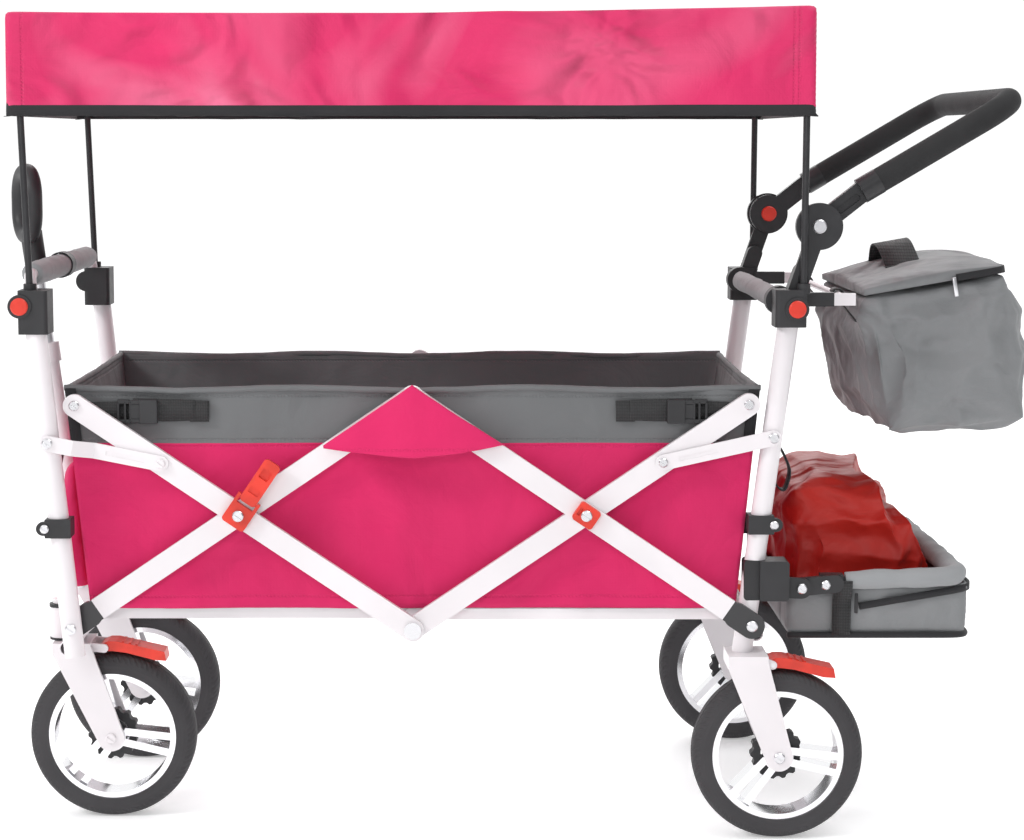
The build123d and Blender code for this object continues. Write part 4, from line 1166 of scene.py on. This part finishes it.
class WAGON_OT_red_cloth(bpy.types.Operator):
    """Folds the red cover that stands in the tray"""
    bl_idname = "wagon.red_cloth"
    bl_label = "Red cloth"

    def execute(self, context):
        low, high = node_box("red_cloth")
        deep, tall = high.x - low.x, high.z - low.z
        bm = rounded_block((low.x + 3 * MM, low.y + 5 * MM, low.z + 1 * MM),
                           (high.x - 4 * MM, high.y - 5 * MM, high.z - 3 * MM), 12 * MM, 4)
        piece = inflate(add_piece("red_cover", bm, material("red cloth")), 5 * MM, 6 * MM)
        bm = bmesh.new()
        bm.from_mesh(piece.data)

        def step(t, start, end):
            part = min(1.0, max(0.0, (t - start) / (end - start)))
            return part * part * (3 - 2 * part)

        def folds(at, normal):
            lie = (at.x * 0.6 + at.z * 0.9, at.y * 0.8, at.z * 1.5 - at.x * 0.5)
            draped = crease(lie, 9.0, 12 * MM, 2.0) + crease((at.z * 2.2, at.x * 0.5, at.y), 10.0, 7 * MM, 5.0)
            return (draped + ripple(at, 30.0, 1.5 * MM) - 9 * MM) * min(1.0, (at.z - low.z) / 0.02)

        for vertex in bm.verts:
            t = (vertex.co.x - low.x) / deep + 0.05 * sin(vertex.co.y * 22 + 2)
            height = 1 - 0.24 * step(t, 0.62, 0.74) - 0.30 * step(t, 0.84, 0.98) + 0.03 * sin(t * 9)
            height -= 0.10 * step(-vertex.co.y, 0.08, 0.19)
            vertex.co.z = low.z + (vertex.co.z - low.z) * min(1.0, height)
            vertex.co.x -= 9 * MM * max(0.0, (vertex.co.z - low.z) / tall) * step(t, 0.6, 1.0)
        push(bm, folds)
        for vertex in bm.verts:
            vertex.co.z = max(vertex.co.z, low.z)
        bm.to_mesh(piece.data)
        bm.free()
        dress(piece, "tray", "red_fabric", "red_cloth")
        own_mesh(piece)
        return {"FINISHED"}


# ---------------------------------------------------------------- brake drums
DRUM_RADIUS = 31 * MM
DRUM_WIDTH = 15 * MM
DRUM_STEPS = 14 * 4


def drum(centre, radius, width):
    """Toothed black ring round a hub, of 14 teeth with four points each."""
    bm = bmesh.new()
    rings = []
    for y in (-width / 2, width / 2):
        for inner in (False, True):
            ring = []
            for index in range(DRUM_STEPS):
                angle = 2 * pi * index / DRUM_STEPS
                reach = radius * (0.62 if inner else (1.0 if index % 4 < 2 else 0.90))
                spot = (centre.x + reach * cos(angle), centre.y + y, centre.z + reach * sin(angle))
                ring.append(bm.verts.new(spot))
            rings.append(ring)
    for first, second in ((0, 1), (1, 3), (3, 2), (2, 0)):
        for index in range(DRUM_STEPS):
            after = (index + 1) % DRUM_STEPS
            bm.faces.new((rings[first][index], rings[first][after], rings[second][after], rings[second][index]))
    bmesh.ops.recalc_face_normals(bm, faces=bm.faces)
    return bm


class WAGON_OT_drums(bpy.types.Operator):
    """Puts a toothed brake drum behind the spokes of each wheel"""
    bl_idname = "wagon.drums"
    bl_label = "Brake drums"

    def execute(self, context):
        for name in ("front_near", "front_far", "rear_near", "rear_far"):
            hub = middle(f"rim_{name}")
            bm = drum(hub, DRUM_RADIUS, DRUM_WIDTH)
            piece = add_piece(f"brake_drum_{name}", bm, material("black plastic"), smooth=False)
            dress(piece, f"wheel_{name}", "black_plastic")
        return {"FINISHED"}


# ---------------------------------------------------------------- stage
WHITE = (1.0, 1.0, 1.0, 1.0)
DARK_WALL = (0.31, 0.31, 0.32, 1.0)
SKY_STRENGTH = 1.05
FLOOR_HALF = 14.0
FLOOR_GLOW = 0.32
AIM = Vector((0, 0, 0.45))
# name, place, width and power
LIGHTS = (
    ("key light", (-3.3, -1.9, 2.9), 0.9, 70.0),
    ("fill light", (-0.8, -4.0, 1.75), 0.8, 26.0),
    ("top light", (1.4, -0.6, 3.4), 1.6, 26.0),
    ("floor light", (0.0, 4.0, 3.0), 3.0, 60.0),
)
CAMERA_PLACE = (-0.0528, -3.0397, 0.8192)
CAMERA_TURN = (radians(90 - 6.6523), 0.0, radians(-0.1507))
CAMERA = {"sensor_width": 36.0, "lens": 85.66, "shift_x": 0.0412, "shift_y": 0.0008, "clip_end": 60.0}


def studio_sky(tree):
    """White room with a darker wall behind the camera, which gives bright metal its contrast."""
    way = tree.nodes.new("ShaderNodeTexCoord").outputs["Generated"]
    split = tree.nodes.new("ShaderNodeSeparateXYZ")
    tree.links.new(way, split.inputs[0])
    steps = []
    for axis, low, high in (("Y", 0.55, 0.15), ("Z", 0.85, 0.45)):
        step = tree.nodes.new("ShaderNodeMapRange")
        step.inputs["From Min"].default_value = low
        step.inputs["From Max"].default_value = high
        tree.links.new(split.outputs[axis], step.inputs["Value"])
        steps.append(step.outputs["Result"])
    both = tree.nodes.new("ShaderNodeMath")
    both.operation = "MULTIPLY"
    for socket, step in zip(both.inputs, steps):
        tree.links.new(step, socket)
    sky = mixed(tree, "RGBA", both.outputs[0], WHITE, DARK_WALL)
    tree.links.new(sky, tree.nodes["Background"].inputs["Color"])
    tree.nodes["Background"].inputs["Strength"].default_value = SKY_STRENGTH


class WAGON_OT_stage(bpy.types.Operator):
    """Sets the floor, the soft lights and the camera"""
    bl_idname = "wagon.stage"
    bl_label = "Stage"

    def execute(self, context):
        scene = context.scene
        bm = bmesh.new()
        bmesh.ops.create_grid(bm, x_segments=1, y_segments=1, size=FLOOR_HALF)
        shader = Shader("pale floor", (0.92, 0.92, 0.925), 0.55)
        shader.rough(shader.noise(2.0), 0.5, 0.6)
        shader.set("Emission Color", WHITE)
        shader.set("Emission Strength", FLOOR_GLOW)
        add_piece("floor", bm, shader.material, smooth=False)
        world = bpy.data.worlds.new("studio")
        world.use_nodes = True
        studio_sky(world.node_tree)
        scene.world = world
        for name, place, wide, power in LIGHTS:
            data = bpy.data.lights.new(name, "AREA")
            data.size = wide
            data.energy = power
            lamp = bpy.data.objects.new(name, data)
            lamp.location = place
            lamp.rotation_euler = (AIM - Vector(place)).to_track_quat("-Z", "Y").to_euler()
            scene.collection.objects.link(lamp)
        data = bpy.data.cameras.new("camera")
        for key, value in CAMERA.items():
            setattr(data, key, value)
        camera = bpy.data.objects.new("camera", data)
        camera.location = CAMERA_PLACE
        camera.rotation_euler = CAMERA_TURN
        scene.collection.objects.link(camera)
        scene.camera = camera
        scene.view_settings.view_transform = "Standard"
        return {"FINISHED"}


OPERATORS = (WAGON_OT_finishes, WAGON_OT_tub_sides, WAGON_OT_tub_ends, WAGON_OT_tub_trim, WAGON_OT_side_straps,
             WAGON_OT_canopy, WAGON_OT_bumpers, WAGON_OT_bag, WAGON_OT_tray, WAGON_OT_red_cloth,
             WAGON_OT_drums, WAGON_OT_stage)


class WAGON_PT_panel(bpy.types.Panel):
    """Lists the wagon's settings and pieces"""
    bl_idname = "WAGON_PT_panel"
    bl_label = "Folding wagon"
    bl_space_type = "VIEW_3D"
    bl_region_type = "UI"
    bl_category = "Wagon"

    def draw(self, context):
        for group in (context.scene.wagon_colours, context.scene.wagon_cloth):
            for key in group.__annotations__:
                self.layout.prop(group, key)
        for operator in OPERATORS:
            self.layout.operator(operator.bl_idname)


CLASSES = (WagonColours, WagonCloth, *OPERATORS, WAGON_PT_panel)


def register():
    for item in CLASSES:
        bpy.utils.register_class(item)
    bpy.types.Scene.wagon_colours = PointerProperty(type=WagonColours)
    bpy.types.Scene.wagon_cloth = PointerProperty(type=WagonCloth)


def unregister():
    del bpy.types.Scene.wagon_cloth
    del bpy.types.Scene.wagon_colours
    for item in reversed(CLASSES):
        bpy.utils.unregister_class(item)


def main():
    register()
    for operator in OPERATORS:
        group, name = operator.bl_idname.split(".")
        getattr(getattr(bpy.ops, group), name)()


if __name__ == "__main__":
    main()
